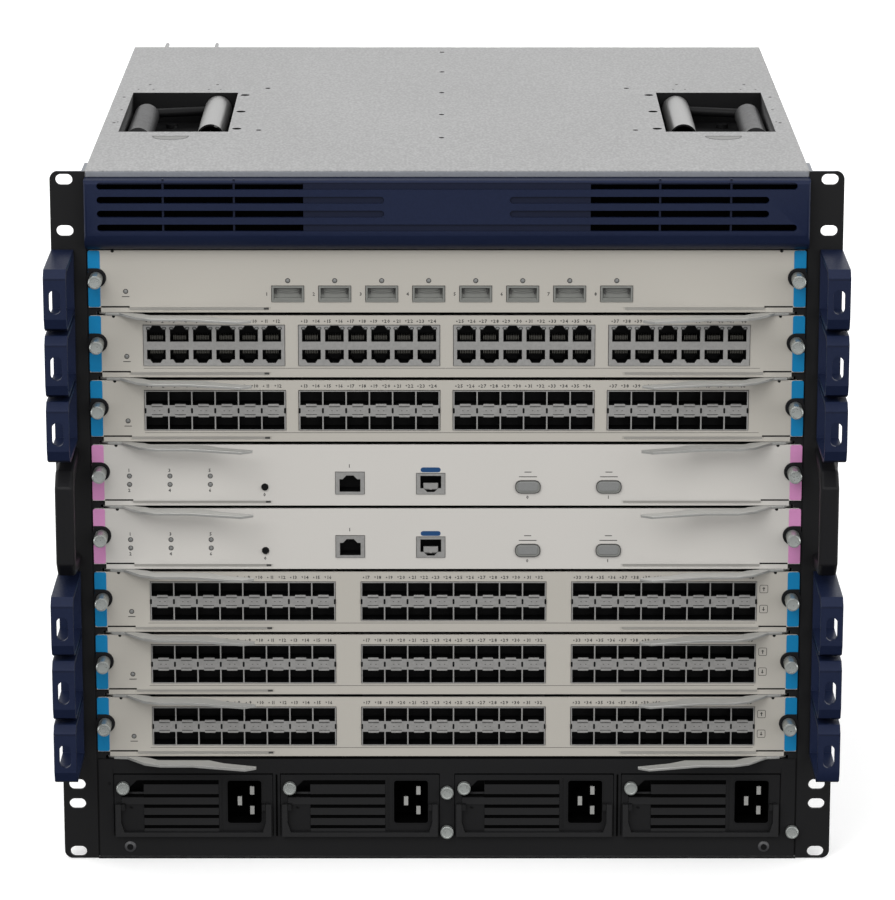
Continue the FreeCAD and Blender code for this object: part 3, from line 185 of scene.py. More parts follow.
def finish(name, colour, rough, metal=0.0, drift=0.06, grain=900.0, relief=0.05, stretch=(1, 1, 1),
           rough_drift=0.06, broad_share=0.4, **sockets):
    """A surface whose colour is multiplied by 1 +- drift, and whose roughness moves by its own drift.

    Both follow one noise: fine noise * (1 - broad share) + broad noise * broad share.
    """
    material = bpy.data.materials.new(name)
    material.use_nodes = True
    nodes, links = material.node_tree.nodes, material.node_tree.links
    surface = nodes["Principled BSDF"]
    place = nodes.new("ShaderNodeTexCoord")
    turn = nodes.new("ShaderNodeMapping")
    turn.inputs["Scale"].default_value = stretch
    links.new(place.outputs["Object"], turn.inputs["Vector"])
    fine = nodes.new("ShaderNodeTexNoise")
    broad = nodes.new("ShaderNodeTexNoise")
    for noise, scale in ((fine, grain), (broad, BROAD_GRAIN)):
        noise.inputs["Scale"].default_value = scale
        noise.inputs["Detail"].default_value = 2.0
        links.new(turn.outputs["Vector"], noise.inputs["Vector"])
    blend = nodes.new("ShaderNodeMath")
    blend.operation = "MULTIPLY_ADD"
    blend.inputs[1].default_value = 1 - broad_share
    links.new(fine.outputs["Fac"], blend.inputs[0])
    part = nodes.new("ShaderNodeMath")
    part.operation = "MULTIPLY"
    part.inputs[1].default_value = broad_share
    links.new(broad.outputs["Fac"], part.inputs[0])
    links.new(part.outputs[0], blend.inputs[2])
    tone = nodes.new("ShaderNodeValToRGB")
    base = np.array(srgb(*colour))
    for stop, place_at, factor in ((0, NOISE_LOW, 1 - drift), (1, NOISE_HIGH, 1 + drift)):
        tone.color_ramp.elements[stop].position = place_at
        tone.color_ramp.elements[stop].color = tuple(np.clip(base[:3] * factor, 0, 1)) + (1.0,)
    links.new(blend.outputs[0], tone.inputs["Fac"])
    links.new(tone.outputs["Color"], surface.inputs["Base Color"])
    spread = nodes.new("ShaderNodeMapRange")
    smoothest, roughest = max(rough - rough_drift, 0.02), min(rough + rough_drift, 1.0)
    for socket, value in (("From Min", NOISE_LOW), ("From Max", NOISE_HIGH),
                          ("To Min", smoothest), ("To Max", roughest)):
        spread.inputs[socket].default_value = value
    links.new(blend.outputs[0], spread.inputs["Value"])
    links.new(spread.outputs["Result"], surface.inputs["Roughness"])
    if relief:
        bump = nodes.new("ShaderNodeBump")
        bump.inputs["Strength"].default_value = relief
        bump.inputs["Distance"].default_value = RELIEF_DEPTH
        links.new(fine.outputs["Fac"], bump.inputs["Height"])
        links.new(bump.outputs["Normal"], surface.inputs["Normal"])
    surface.inputs["Metallic"].default_value = metal
    for socket, value in sockets.items():
        surface.inputs[socket.replace("_", " ")].default_value = value
    FINISH[name] = material
    return material


print("a noise spans", NOISE_LOW, "to", NOISE_HIGH)

# %% [markdown]
# The case is rolled zinc sheet, speckled with fine crystals.  Ears, bay frame
# and supplies are black powder coat, which reflects little; the bezel and the
# cable loops are navy plastic; the card faces are light grey paint.

# %% Finishes
MATT = {"Specular_IOR_Level": 0.16}  # a coat that reflects little
zinc = finish("zinc_sheet", (150, 150, 150), 0.5, metal=0.2, drift=0.27, grain=640, relief=0.1,
              stretch=(1, 0.5, 1), rough_drift=0.1, broad_share=0.12)
black = finish("black_powder_coat", (22, 22, 23), 0.5, drift=0.14, grain=1800, relief=0.14, **MATT)
paint = finish("card_paint", (171, 167, 159), 0.5, drift=0.02, grain=1400, relief=0.04)
pale_paint = finish("control_paint", (190, 187, 182), 0.5, drift=0.02, grain=1400, relief=0.04)
navy = finish("navy_plastic", (22, 30, 54), 0.4, drift=0.08, grain=700, relief=0.03, **MATT)
grip_black = finish("grip_plastic", (20, 20, 22), 0.45, drift=0.12, grain=1200, relief=0.1, **MATT)
shield = finish("port_shield", (150, 149, 147), 0.4, metal=0.5, drift=0.06, grain=700, broad_share=0.1)
# Near black: the moulded plastic of ports and buttons, and also painted shade in holes, slots, seams,
# recesses and the insides of optical cages and vents.
mould_black_and_shade = finish("port_mould_and_painted_shade", (5, 5, 6), 0.6, drift=0.1, relief=0.0, **MATT)
lever_grey = finish("lever_steel", (160, 160, 157), 0.34, metal=0.6, drift=0.04, grain=800, relief=0.03)
bright = finish("turned_steel", (172, 176, 173), 0.3, metal=0.7, drift=0.04, grain=500, stretch=(1, 8, 1),
                relief=0.0)
grip_zinc = finish("rolled_zinc", (165, 165, 164), 0.36, metal=0.85, drift=0.05, grain=260,
                   stretch=(10, 1, 1), relief=0.0)
pressed_zinc = finish("pressed_zinc", (128, 128, 126), 0.5, metal=0.2, drift=0.1, grain=620)
dull = finish("dull_zinc", (96, 96, 97), 0.42, metal=0.5, drift=0.1, grain=500)
# Painted shade: the barrels stand down in the wells, and this darker zinc stands in for the shade that falls
# on them there.
barrel_painted_shade = finish("barrel_painted_shade", (52, 52, 53), 0.42, metal=0.3, drift=0.08, grain=500, relief=0.0)
edge_zinc = finish("folded_edge_zinc", (120, 123, 129), 0.5, metal=0.2, drift=0.06, grain=620)
louvre_black = finish("louvre_plastic", (25, 25, 26), 0.5, drift=0.06, grain=900, relief=0.0, **MATT)
# Near black: the insides of the wells and the rods of the lifting handles, and painted shade in the bores of
# their grips.
dark_zinc = finish("dark_zinc", (17, 17, 18), 0.5, metal=0.1, drift=0.15, grain=700, **MATT)
laminate = finish("board_green", (26, 66, 44), 0.42, drift=0.25, grain=260, relief=0.05)
blue_mark = finish("blue_strip", (13, 118, 168), 0.42, drift=0.02, grain=900, relief=0.02, **MATT)
pink_mark = finish("pink_strip", (197, 130, 178), 0.42, drift=0.02, grain=900, relief=0.02)
dust_plug = finish("grey_rubber", (116, 117, 113), 0.5, drift=0.05, grain=900)
label_blue = finish("label_blue", (30, 66, 108), 0.45, drift=0.03, relief=0.0, **MATT)
# Dark ink for print.  The same dark also paints shade: at the end of each fold, in the recesses of the
# plugs, and in the gaps around sockets and covers.
ink_and_shade = finish("printed_ink_and_painted_shade", (52, 51, 50), 0.6, drift=0.05, relief=0.0)
# Darker navy: painted shade in the bezel's grooves and under the brows of the cable loops.
navy_shade = finish("navy_painted_shade", (17, 23, 43), 0.5, drift=0.08, grain=700, relief=0.0, **MATT)
# Painted shade: the duller grey band in the pressed fold at the foot of a card face.
pressed = finish("pressed_edge_painted_shade", (140, 138, 133), 0.5, drift=0.03, grain=1400, relief=0.03)
pin_steel = finish("pin_steel", (150, 150, 147), 0.3, drift=0.03, grain=500, relief=0.0)
ring_grey = finish("screw_ring", (58, 58, 60), 0.4, drift=0.05, relief=0.0)
lamp = finish("lamp_lens", (120, 121, 120), 0.2, drift=0.05, relief=0.0)
bail_black = finish("bail_plastic", (25, 25, 26), 0.4, drift=0.06, relief=0.0, Specular_IOR_Level=0.3)
fan_black = finish("fan_plastic", (20, 20, 21), 0.36, drift=0.12, grain=600)
# Near black for painted shade: behind the slats and the bezel, inside the mains inlets and in the seams
# between bays.
shadow = finish("painted_deep_shade", (3, 3, 3), 0.8, relief=0.0, Specular_IOR_Level=0.02)
# Painted highlight: the paler grey laid on the rims of the levers.
lever_rim_highlight = finish("lever_rim_highlight", (196, 196, 193), 0.34, metal=0.5, drift=0.03, grain=800, relief=0.0)
print("finishes:", len(FINISH))

# %% [markdown]
# A sheared or moulded edge is never sharp: a radius of a few tenths of a
# millimetre catches the light and draws the form.  A bevel modifier rounds the
# edges, and weighted normals keep the large flats even, where plain smooth
# shading would leave blotches on them.

# %% Pieces and their edges
SHARP_FROM = 35  # degrees between two faces from which their edge is rounded
FLAT_SHARE = 80  # how much more a large face counts when normals are averaged


def measure(mesh):
    """Centres and normals of all faces, centres in millimetres."""
    centre = np.empty(len(mesh.polygons) * 3)
    normal = np.empty(len(mesh.polygons) * 3)
    mesh.polygons.foreach_get("center", centre)
    mesh.polygons.foreach_get("normal", normal)
    return centre.reshape(-1, 3) / MM, normal.reshape(-1, 3)


def put(name, mesh, body, *replaced):
    """Link a mesh as a piece that rides on a body and may stand for solids."""
    item = bpy.data.objects.new(name, mesh)
    bpy.context.scene.collection.objects.link(item)
    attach(item, body)
    if replaced:
        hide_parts(*replaced)
    return item


def round_edges(item, width, segments=2):
    """A bevel of one width in millimetres on every sharp edge."""
    if width:
        bevel = item.modifiers.new("edge_radius", "BEVEL")
        bevel.width = width * MM
        bevel.segments = segments
        bevel.limit_method = "ANGLE"
        bevel.angle_limit = math.radians(SHARP_FROM)
        bevel.harden_normals = True
        bevel.use_clamp_overlap = True
    steady = item.modifiers.new("flat_faces_stay_flat", "WEIGHTED_NORMAL")
    steady.keep_sharp = True
    steady.weight = FLAT_SHARE
    return item


print("edges sharper than", SHARP_FROM, "degrees are rounded")

# %% [markdown]
# A solid arrives as loose triangles with knife-sharp edges.  Each visible one
# gets a stand-in: its triangles are merged, flat areas are joined, and its
# edges are rounded.  Zones then give each face its finish by place.  Painting
# the faces by hand would do as well, but not survive a change of the solid.

# %% Dress a solid
MERGE = 2e-6  # metres: points nearer than this are one


def dress(node, base, width, zones=(), segments=2, after=None, flat=False):
    """Merged copy of a solid with bevelled edges; zones are (finish, test of centre and normal)."""
    mesh = bpy.data.meshes.new(node + "_dress")
    work = bmesh.new()
    work.from_mesh(frame["nodes"][node].data)
    bmesh.ops.remove_doubles(work, verts=work.verts, dist=MERGE)
    bmesh.ops.dissolve_limit(work, angle_limit=math.radians(0.5), verts=work.verts, edges=work.edges)
    if after:
        after(work)
    work.to_mesh(mesh)
    work.free()
    mesh.materials.append(base)
    centre, normal = measure(mesh)
    index = np.zeros(len(mesh.polygons), np.int32)
    for number, (surface, test) in enumerate(zones, 1):
        mesh.materials.append(surface)
        index[test(centre, normal)] = number
    mesh.polygons.foreach_set("material_index", index)
    if flat:
        mesh.shade_flat()
    else:
        mesh.shade_smooth()
        mesh.set_sharp_from_angle(angle=math.radians(SHARP_FROM))
    return round_edges(put(node + "_dress", mesh, BODY[node], node), width, segments)


print("solids to dress:", len(frame["nodes"]))

# %% [markdown]
# The case itself is galvanised sheet.  Behind the card faces it is painted
# black.  The insides of the wells are near black.  The barrels that hold the
# lifting handles are painted a darker zinc as the shade that falls on them down
# in the wells, and the walls of the small holes through the cover and the bores
# of the grips are painted near black as the shade inside them.  Each zone is a
# small function of place and facing, so that one solid can carry several
# finishes without being cut apart.

# %% Case, ears and bay frame
TOP = 441.8
HOOD_FOOT = 420.0
WELL_ACROSS, WELL_ALONG = (138.5, 209), (128.5, 269)
BARREL_X, BARREL_RADIUS, BARREL_FLOOR, BARREL_ALONG = 198.0, 8.3, 424, (150, 245)
GRIP_X, GRIP_DROP, GRIP_FRONT, GRIP_RADIUS, GRIP_BORE = 152.0, 10.7, 163.5, 9.05, 7.9
HOLES_ACROSS, HOLES_ALONG, HOLES_DEEP = 216, (10, 440), 1.45


def between(values, low, high):
    """Which of the values lie between two bounds."""
    return (values > low) & (values < high)


def in_well(centre, normal):
    """Inside either pressed well of the cover, below its rim."""
    across, back, up = np.abs(centre[:, 0]), centre[:, 1], centre[:, 2]
    return between(across, *WELL_ACROSS) & between(back, *WELL_ALONG) & between(up, HOOD_FOOT, TOP - 0.1)


def on_front(centre, normal):
    """The front wall of the case and the faces just behind it, below the hood."""
    return (centre[:, 1] < 5) & (centre[:, 2] < HOOD_FOOT) & (np.abs(normal[:, 0]) < 0.5)


def in_hole(centre, normal):
    """The upright walls of the small holes through the cover, painted near black as the shade inside them.
    """
    across, back, up = np.abs(centre[:, 0]), centre[:, 1], centre[:, 2]
    upright_wall = between(up, TOP - HOLES_DEEP, TOP - 0.05) & (np.abs(normal[:, 2]) < 0.3)
    inside = (across < HOLES_ACROSS) & between(back, *HOLES_ALONG)
    return upright_wall & inside & ~in_well(centre, normal)


def on_barrel(centre, normal):
    """The tubes in the wells that the rods of the lifting handles turn in."""
    near_tube = np.abs(np.abs(centre[:, 0]) - BARREL_X) < BARREL_RADIUS
    raised = centre[:, 2] > BARREL_FLOOR
    return in_well(centre, normal) & near_tube & raised & between(centre[:, 1], *BARREL_ALONG)


def off_grip(centre, normal):
    """The bent rod of a lifting handle and the bore of its grip, the bore painted near black as the shade in
    it: all but the rolled sheet.
    """
    across = np.abs(np.abs(centre[:, 0]) - GRIP_X)
    bore = np.hypot(across, centre[:, 2] - (TOP - GRIP_DROP)) < GRIP_BORE
    return (across > GRIP_RADIUS) | (centre[:, 1] < GRIP_FRONT) | bore


def split_front(work):
    """Cut the front wall level with the foot of the hood, so that each part takes its own paint."""
    bmesh.ops.bisect_plane(work, geom=work.verts[:] + work.edges[:] + work.faces[:],
                           plane_co=(0, 0, HOOD_FOOT * MM), plane_no=(0, 0, 1))


# Painted shade: the darker barrels, the near-black walls of the holes and the near-black bores of the grips.
case_zones = [(black, on_front), (dark_zinc, in_well), (mould_black_and_shade, in_hole), (barrel_painted_shade, on_barrel)]
dress("chassis_shell", zinc, 0.0, case_zones, after=split_front)
for side in SIDES:
    dress("rack_ear_" + side, black, 0.35, [
        (edge_zinc, lambda c, n: (n[:, 2] > 0.8) & (c[:, 1] > 5) & (c[:, 2] > 430))])
    dress("cable_guides_" + side, navy, 0.8, segments=3)
    dress("side_handle_" + side, grip_black, 1.0, segments=3)
    dress("top_handle_" + side, grip_zinc, 0.2, [(dark_zinc, off_grip)])
# The floors of the bezel's grooves take the darker navy as painted shade.
dress("front_bezel", navy, 0.5, [
    (navy_shade, lambda c, n: between(c[:, 1], -11.2, -9.9) & (n[:, 1] < -0.9))], segments=3)
dress("psu_bay_frame", black, 0.3, [(bright, lambda c, n: c[:, 1] < -1.0)])
print("case finishes by place:", [surface.name for surface, test in case_zones])

# %% [markdown]
# A card is one folded steel face, painted light grey, with a tray of bare
# zinc behind it.  Its thumbscrews are turned steel in black plastic holders.
# The levers are cut from thick sheet; their rims, the faces that look up or
# down, carry a painted highlight in a paler grey than their rolled faces.

# %% Cards, levers and buttons
CARDS = range(1, 9)
FACE_TALL = 38.8
BASE = {card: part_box(f"card_{card}_panel")[1].z / MM - FACE_TALL for card in CARDS}
KIND = {1: "quad", 2: "jack", 3: "six", 4: "control", 5: "control", 6: "eight", 7: "eight", 8: "eight"}
HOLDER_X, HOLDER_FRONT = 207.5, -1.3
FACE_BACK, SHIELD_BACK, SOCKET_BACK = 1.6, 49.0, 11.0
for card in CARDS:
    control = KIND[card] == "control"
    zones = [
        (zinc, lambda c, n: c[:, 1] > FACE_BACK),
        (grip_black, lambda c, n: (np.abs(c[:, 0]) > HOLDER_X) & between(c[:, 1], HOLDER_FRONT, -0.02)),
        (bright, lambda c, n: (np.abs(c[:, 0]) > HOLDER_X) & (c[:, 1] < HOLDER_FRONT)),
    ]
    if control:
        zones.append((dust_plug, lambda c, n: between(c[:, 0], 40, 110) & (c[:, 1] < -0.02)))
    dress(f"card_{card}_panel", pale_paint if control else paint, 0.2, zones)
    outside, inside = (dust_plug, dust_plug) if KIND[card] == "quad" else (shield, mould_black_and_shade)
    # Inside each socket is near black: the moulded plastic of the wired jacks, and painted shade deep in the
    # optical cages.
    dress(f"card_{card}_board", laminate, 0.0, [
        (zinc, lambda c, n, b=BASE[card]: (c[:, 1] > 100) & (c[:, 2] > b + 8.5)),
        (outside, lambda c, n: c[:, 1] < SHIELD_BACK),
        (inside, lambda c, n: between(c[:, 1], -0.4, SOCKET_BACK)),
    ], flat=True)
    for side in SIDES:
        # The rims of each lever, which face up or down, take the painted highlight.
        dress(f"card_{card}_ejector_{side}", lever_grey, 0.35,
              [(lever_rim_highlight, lambda c, n: np.abs(n[:, 2]) > 0.5)], segments=3)
    if control:
        dress(f"card_{card}_button", mould_black_and_shade, 0.15)
print("card bases in mm:", {card: round(base, 1) for card, base in BASE.items()})

# %% [markdown]
# The four supplies are black boxes with a louvred air intake, a mains inlet
# with three flat pins, one thumbscrew and a thin drop handle.  Each is dressed
# from its own low corner, so one loop serves all four.

# %% Supplies
SUPPLIES = range(1, 5)
SUPPLY_KNOB_X, SUPPLY_KNOB_Z = 5.7, 32.6
INLET_SPAN, INLET_DEPTH = (71, 93), (2, 21)
VENT_SPAN, VENT_DEPTH = (4, 66), (5, 15)
for column in SUPPLIES:
    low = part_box(f"psu_{column}_module")[0].x / MM
    # Inside the mains inlet and the vent behind the slats, faces are painted near black as shade.
    dress(f"psu_{column}_module", black, 0.25, [
        (bright, lambda c, n, x=low + SUPPLY_KNOB_X: (c[:, 1] < -0.9) & (np.abs(c[:, 0] - x) < 4.2)
            & (c[:, 2] > 40)),
        (shadow, lambda c, n, x=low: between(c[:, 0] - x, *INLET_SPAN) & between(c[:, 1], *INLET_DEPTH)),
        (mould_black_and_shade, lambda c, n, x=low: between(c[:, 0] - x, *VENT_SPAN) & between(c[:, 1], *VENT_DEPTH)),
    ])
    dress(f"psu_{column}_handle", bail_black, 0.4, segments=3)
print("supplies:", len(SUPPLIES))

# %% [markdown]
# At the rear two fan trays slide in, each with a pierced guard, a pull and two
# rotors on their motor shafts.  The backplane stands between them and the cards.
# The pull is moulded and the tray is sheet, though they are one solid here.

# %% Fans and backplane
PULL_FROM = 451.6
dress("backplane", laminate, 0.0, [(mould_black_and_shade, lambda c, n: c[:, 1] < 344.9)])
for side in SIDES:
    dress("fan_tray_" + side, zinc, 0.3, [(grip_black, lambda c, n: c[:, 1] > PULL_FROM)])
    for name in ("lower", "upper"):
        dress(f"fan_rotor_{side}_{name}", fan_black, 0.3)
print("trays and rotors dressed for", list(SIDES))

# %% [markdown]
# The small pieces are all of two forms: an outline carried straight forward,
# with a fine chamfer at its front, or an outline turned about an axis.  Both
# are rings of points joined by quads, so one function skins them.

# %% Rings and outlines
RIDGED_FROM = 3.0  # only rings wider than this carry ridges


def skin(rings):
    """Quads from each ring of points to the next, point i to point i + 1, with both ends closed."""
    rings = np.asarray(rings, float)
    count, size = rings.shape[:2]
    step = np.arange(count - 1)[:, None] * size
    here, after = (step + np.arange(size)).ravel(), (step + (np.arange(size) + 1) % size).ravel()
    faces = np.stack([here, after, after + size, here + size], 1).tolist()
    faces += [list(range(size)), list(range((count - 1) * size, count * size))]
    return rings.reshape(-1, 3), faces


def oblong(wide, tall, radius, steps=3):
    """Rectangle with round corners: four corner centres, each plus a quarter circle."""
    turn = (np.linspace(0, math.pi / 2, steps + 1) + np.arange(4)[:, None] * math.pi / 2).ravel()
    centre = np.repeat([(1, 1), (-1, 1), (-1, -1), (1, -1)], steps + 1, axis=0)
    return centre * [wide / 2 - radius, tall / 2 - radius] + radius * np.c_[np.cos(turn), np.sin(turn)]


def plate(outline, x, z, back, front, chamfer=0.0):
    """An (x, z) outline carried from y = back to y = front, its last ring drawn in by the chamfer."""
    outline = np.asarray(outline, float)
    size = np.ptp(outline, axis=0)
    levels = [(back, 0.0), (front, 0.0)]
    if chamfer:
        levels = [(back, 0.0), (front + chamfer, 0.0), (front, chamfer)]
    rings = []
    for y, inset in levels:
        flat = outline * (1 - 2 * inset / size)
        rings.append(np.c_[flat[:, 0] + x, np.full(len(flat), y), flat[:, 1] + z])
    return skin(rings)


def turned(profile, x, z, sides=32, ridges=0, depth=0.0):
    """A profile of (radius, y) turned about the line through (x, z) along Y.

    Ridges wave the wide radii: radius * (1 - depth * (1 + cos(ridges * angle)) / 2).
    """
    angle = np.linspace(0, 2 * math.pi, sides, endpoint=False)
    wave = 1 - depth * (0.5 + 0.5 * np.cos(ridges * angle))
    rings = []
    for radius, y in profile:
        swell = wave if radius > RIDGED_FROM else 1
        rings.append(np.c_[x + radius * np.cos(angle) * swell, np.full(sides, y),
                           z + radius * np.sin(angle) * swell])
    return skin(rings)


def brick(x, y, z):
    """A box from its low and high bounds on each axis."""
    base = [(x[0], z[0]), (x[1], z[0]), (x[1], z[1]), (x[0], z[1])]
    return skin([[(a, level, b) for a, b in base] for level in y])


def span(sign, near, far):
    """Low and high x of a stretch that lies between two distances from the middle, on one side."""
    return sorted((sign * near, sign * far))


print("points of a round-cornered outline:", len(oblong(2, 1, 0.2)))

# %% [markdown]
# Many fittings repeat by the hundred.  One shape is made, its copies are laid
# out by adding an offset to every point, and all shapes that ride on one card
# become one piece.

# %% Repeats and pieces
SMOOTH_BELOW = 40  # degrees between two faces up to which they shade as one


def repeats(shape, offsets):
    """Copies of a shape: its points plus each offset, and its faces counted on."""
    points, faces = shape
    offsets = np.asarray(offsets, float)
    every = (points[None] + offsets[:, None]).reshape(-1, 3)
    starts = [k * len(points) for k in range(len(offsets))]
    return every, [[corner + start for corner in face] for start in starts for face in faces]


def make(name, shapes, body, bevel=0.0):
    """One piece from (shape, finish) pairs in millimetres, with its faces turned outwards."""
    points, faces, index, finishes = [], [], [], []
    for (shape_points, shape_faces), surface in shapes:
        start = sum(len(p) for p in points)
        if surface not in finishes:
            finishes.append(surface)
        points.append(shape_points)
        faces += [[corner + start for corner in face] for face in shape_faces]
        index += [finishes.index(surface)] * len(shape_faces)
    mesh = bpy.data.meshes.new(name)
    mesh.from_pydata((np.concatenate(points) * MM).tolist(), [], faces)
    for surface in finishes:
        mesh.materials.append(surface)
    mesh.polygons.foreach_set("material_index", np.array(index, np.int32))
    work = bmesh.new()
    work.from_mesh(mesh)
    bmesh.ops.remove_doubles(work, verts=work.verts, dist=MERGE)
    bmesh.ops.recalc_face_normals(work, faces=work.faces)
    work.to_mesh(mesh)
    work.free()
    mesh.shade_smooth()
    mesh.set_sharp_from_angle(angle=math.radians(SMOOTH_BELOW))
    item = put(name, mesh, body)
    print(name, "faces:", len(mesh.polygons))
    return round_edges(item, bevel)


# %% [markdown]
# Each thumbscrew is turned from bar: a finely ridged head with a chamfered rim
# and a shallow dished end.  A turned profile gives the head, and a wave on its
# radius gives the ridges.

# %% Thumbscrew heads
KNOB_X, KNOB_LIFT = 214.0, 21.7
CARD_KNOB = {"radius": 4.15, "front": -14.5, "back": -1.95}
SUPPLY_KNOB = {"radius": 4.1, "front": -5.0, "back": -0.95}
BAY_KNOBS = ((0, 44.8), (0, 18.7), (217.4, 18.7))


def thumbscrew(x, z, radius, front, back):
    """Head profile: neck, chamfer, ridged side, chamfer, dished end."""
    profile = [(radius - 0.5, back), (radius, back - 0.5), (radius, front + 0.7),
               (radius - 0.15, front + 0.6), (radius - 0.55, front), (radius - 1.1, front),
               (radius - 1.35, front + 0.25), (0.4, front + 0.3)]
    return turned(profile, x, z, sides=72, ridges=24, depth=0.035)


for card in CARDS:
    z = BASE[card] + KNOB_LIFT
    heads = [(thumbscrew(sign * KNOB_X, z, **CARD_KNOB), bright) for sign in SIDES.values()]
    make(f"card_{card}_thumbscrews", heads, f"card_{card}")
for column in SUPPLIES:
    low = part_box(f"psu_{column}_module")[0] / MM
    head = thumbscrew(low.x + SUPPLY_KNOB_X, low.z + SUPPLY_KNOB_Z, **SUPPLY_KNOB)
    make(f"psu_{column}_thumbscrew", [(head, bright)], BODY[f"psu_{column}_module"])
heads = [(thumbscrew(x, z, **SUPPLY_KNOB), bright) for x, z in BAY_KNOBS]
make("bay_thumbscrews", heads, "chassis")

# %% [markdown]
# The coloured strips tell a service hand which slot takes which card: blue for
# port cards, pink for the two control cards.  Each is a thin film with round
# corners, broken by the black holder of the thumbscrew.  A zone of colour on
# the face would need the face cut along the strip; a film needs nothing.

# %% Colour strips
STRIP_LOW, STRIP_WIDE, STRIP_X = 3.4, 7.4, 215.4
STRIP_TALL = FACE_TALL - STRIP_LOW - 0.1
film = oblong(STRIP_WIDE, STRIP_TALL, 1.2)
for card in CARDS:
    middle = BASE[card] + STRIP_LOW + STRIP_TALL / 2
    surface = pink_mark if KIND[card] == "control" else blue_mark
    strips = [(plate(film, sign * STRIP_X, middle, 0.0, -0.25, 0.08), surface) for sign in SIDES.values()]
    make(f"card_{card}_strips", strips, f"card_{card}")

# %% [markdown]
# Printed numbers stand over the ports.  Ten digit shapes are made once from
# the built-in typeface, and every number is put together from them, because
# that is far quicker than hundreds of text objects.

# %% Digits
DIGIT_TALL = 2.1
LETTER_SIZE = 1.38  # type size for a digit one millimetre tall


def digit_shapes(height):
    """Points, faces and advance of each digit 0 to 9, lying in the face plane and a hair thick."""
    shapes = []
    for digit in "0123456789":
        letters = bpy.data.curves.new("digit", "FONT")
        letters.body = digit
        letters.size = height * LETTER_SIZE
        letters.offset = 0.04 * height
        letters.extrude = 0.02
        letters.resolution_u = 1
        item = bpy.data.objects.new("digit", letters)
        flat = bpy.data.meshes.new_from_object(item)
        points = np.empty(len(flat.vertices) * 3)
        flat.vertices.foreach_get("co", points)
        points = points.reshape(-1, 3)[:, [0, 2, 1]]
        faces = [list(face.vertices) for face in flat.polygons]
        shapes.append(((points, faces), np.ptp(points[:, 0]) + 0.25 * height))
        bpy.data.objects.remove(item)
        bpy.data.meshes.remove(flat)
        bpy.data.curves.remove(letters)
    return shapes


DIGITS = digit_shapes(DIGIT_TALL)
print("advance of each digit in mm:", [round(advance, 2) for _, advance in DIGITS])

# %% [markdown]
# All print is ink a few hundredths of a millimetre thick: numbers, rings,
# lines, and the small triangles that point at the port they name.  As real
# shapes they stay sharp at any distance, which a painted picture would not.

# %% Printed marks
INK_FRONT, DIGIT_FRONT = -0.04, -0.03
TRIANGLE = np.array([(-0.55, -0.5), (0.55, -0.5), (0, 0.55)])
ARROW = np.array([(0, 1.3), (1.0, 0.2), (0.3, 0.2), (0.3, -1.3), (-0.3, -1.3), (-0.3, 0.2), (-1.0, 0.2)])


def number_mark(value, x, z):
    """A number centred on (x, z): its digits side by side."""
    chosen = [DIGITS[int(letter)] for letter in str(value)]
    place = x - sum(advance for _, advance in chosen) / 2
    parts = []
    for (points, faces), advance in chosen:
        parts.append(((points + [place - points[:, 0].min(), DIGIT_FRONT, z - DIGIT_TALL / 2], faces), ink_and_shade))
        place += advance
    return parts


def frame_mark(wide, tall, radius, stroke, x, z, surface, y=DIGIT_FRONT):
    """A thin ring in a given finish: the outline and the same outline drawn in by the stroke, joined front
    and back.
    """
    outer = oblong(wide, tall, radius)
    inner = oblong(wide - 2 * stroke, tall - 2 * stroke, max(radius - stroke, 0.05))
    rings = [np.c_[o[:, 0] + x, np.full(len(o), depth), o[:, 1] + z]
             for o, depth in ((outer, 0.0), (outer, y), (inner, y), (inner, 0.0))]
    points, faces = skin(rings + [rings[0]])
    return (points, faces[:-2]), surface


def line_mark(x_low, x_high, z, tall):
    """A printed line between two places."""
    return plate(oblong(x_high - x_low, tall, 0.1, 1), (x_low + x_high) / 2, z, 0.0, INK_FRONT), ink_and_shade


print("ink thickness in mm:", -INK_FRONT)

# %% [markdown]
# The ports of a card stand in blocks, and the columns of a block are one pitch
# apart.  The same layout places the numbers, the contacts and the cage springs.

# %% Port layout
JACK_PITCH, CAGE_PITCH = 14.15, 14.3
QUAD_PORTS = [-107.0 + 28.7 * port + 19.5 / 2 for port in range(8)]
BLOCK_FOOT = 7.4  # height of the port blocks above the foot of the card


def first_column(left, wide, columns, pitch):
    """Place of a block's first column, where its columns are centred in the block."""
    return left + (wide - (columns - 1) * pitch) / 2


LAYOUT = {  # first column, block step, blocks, columns, pitch
    "jack": (first_column(-185.9, 86.4, 6, JACK_PITCH), 95.0, 4, 6, JACK_PITCH),
    "six": (first_column(-185.8, 86.6, 6, CAGE_PITCH), 94.8, 4, 6, CAGE_PITCH),
    "eight": (first_column(-184.4, 114.9, 8, CAGE_PITCH), 131.0, 3, 8, CAGE_PITCH),
}


def columns_of(kind):
    """Offset of every port column of a card, block by block."""
    start, step, blocks, columns, pitch = LAYOUT[kind]
    return [(start + block * step + column * pitch, 0, 0)
            for block in range(blocks) for column in range(columns)]


def gaps_of(kind):
    """Offset of every wall between or beside the columns, block by block."""
    start, step, blocks, columns, pitch = LAYOUT[kind]
    return [(start + block * step + (column - 0.5) * pitch, 0, 0)
            for block in range(blocks) for column in range(columns + 1)]


def port_marks(kind, z):
    """Two numbers over each column of ports, with a triangle that points up or down at their port."""
    parts, count = [], 1
    for x, _, _ in columns_of(kind):
        for offset, rise in ((-3.58, 1), (3.58, -1)):
            parts.append((plate(TRIANGLE * [1, rise], x + offset - 2.3, z, 0.0, INK_FRONT), ink_and_shade))
            parts += number_mark(count, x + offset + 0.6, z)
            count += 1
    return parts


print("port columns:", {kind: len(columns_of(kind)) for kind in LAYOUT})

# %% [markdown]
# A status lamp is a light pipe: a pale lens in a dark ring, level with the
# face.  Control cards have six of them, and every other card has one.

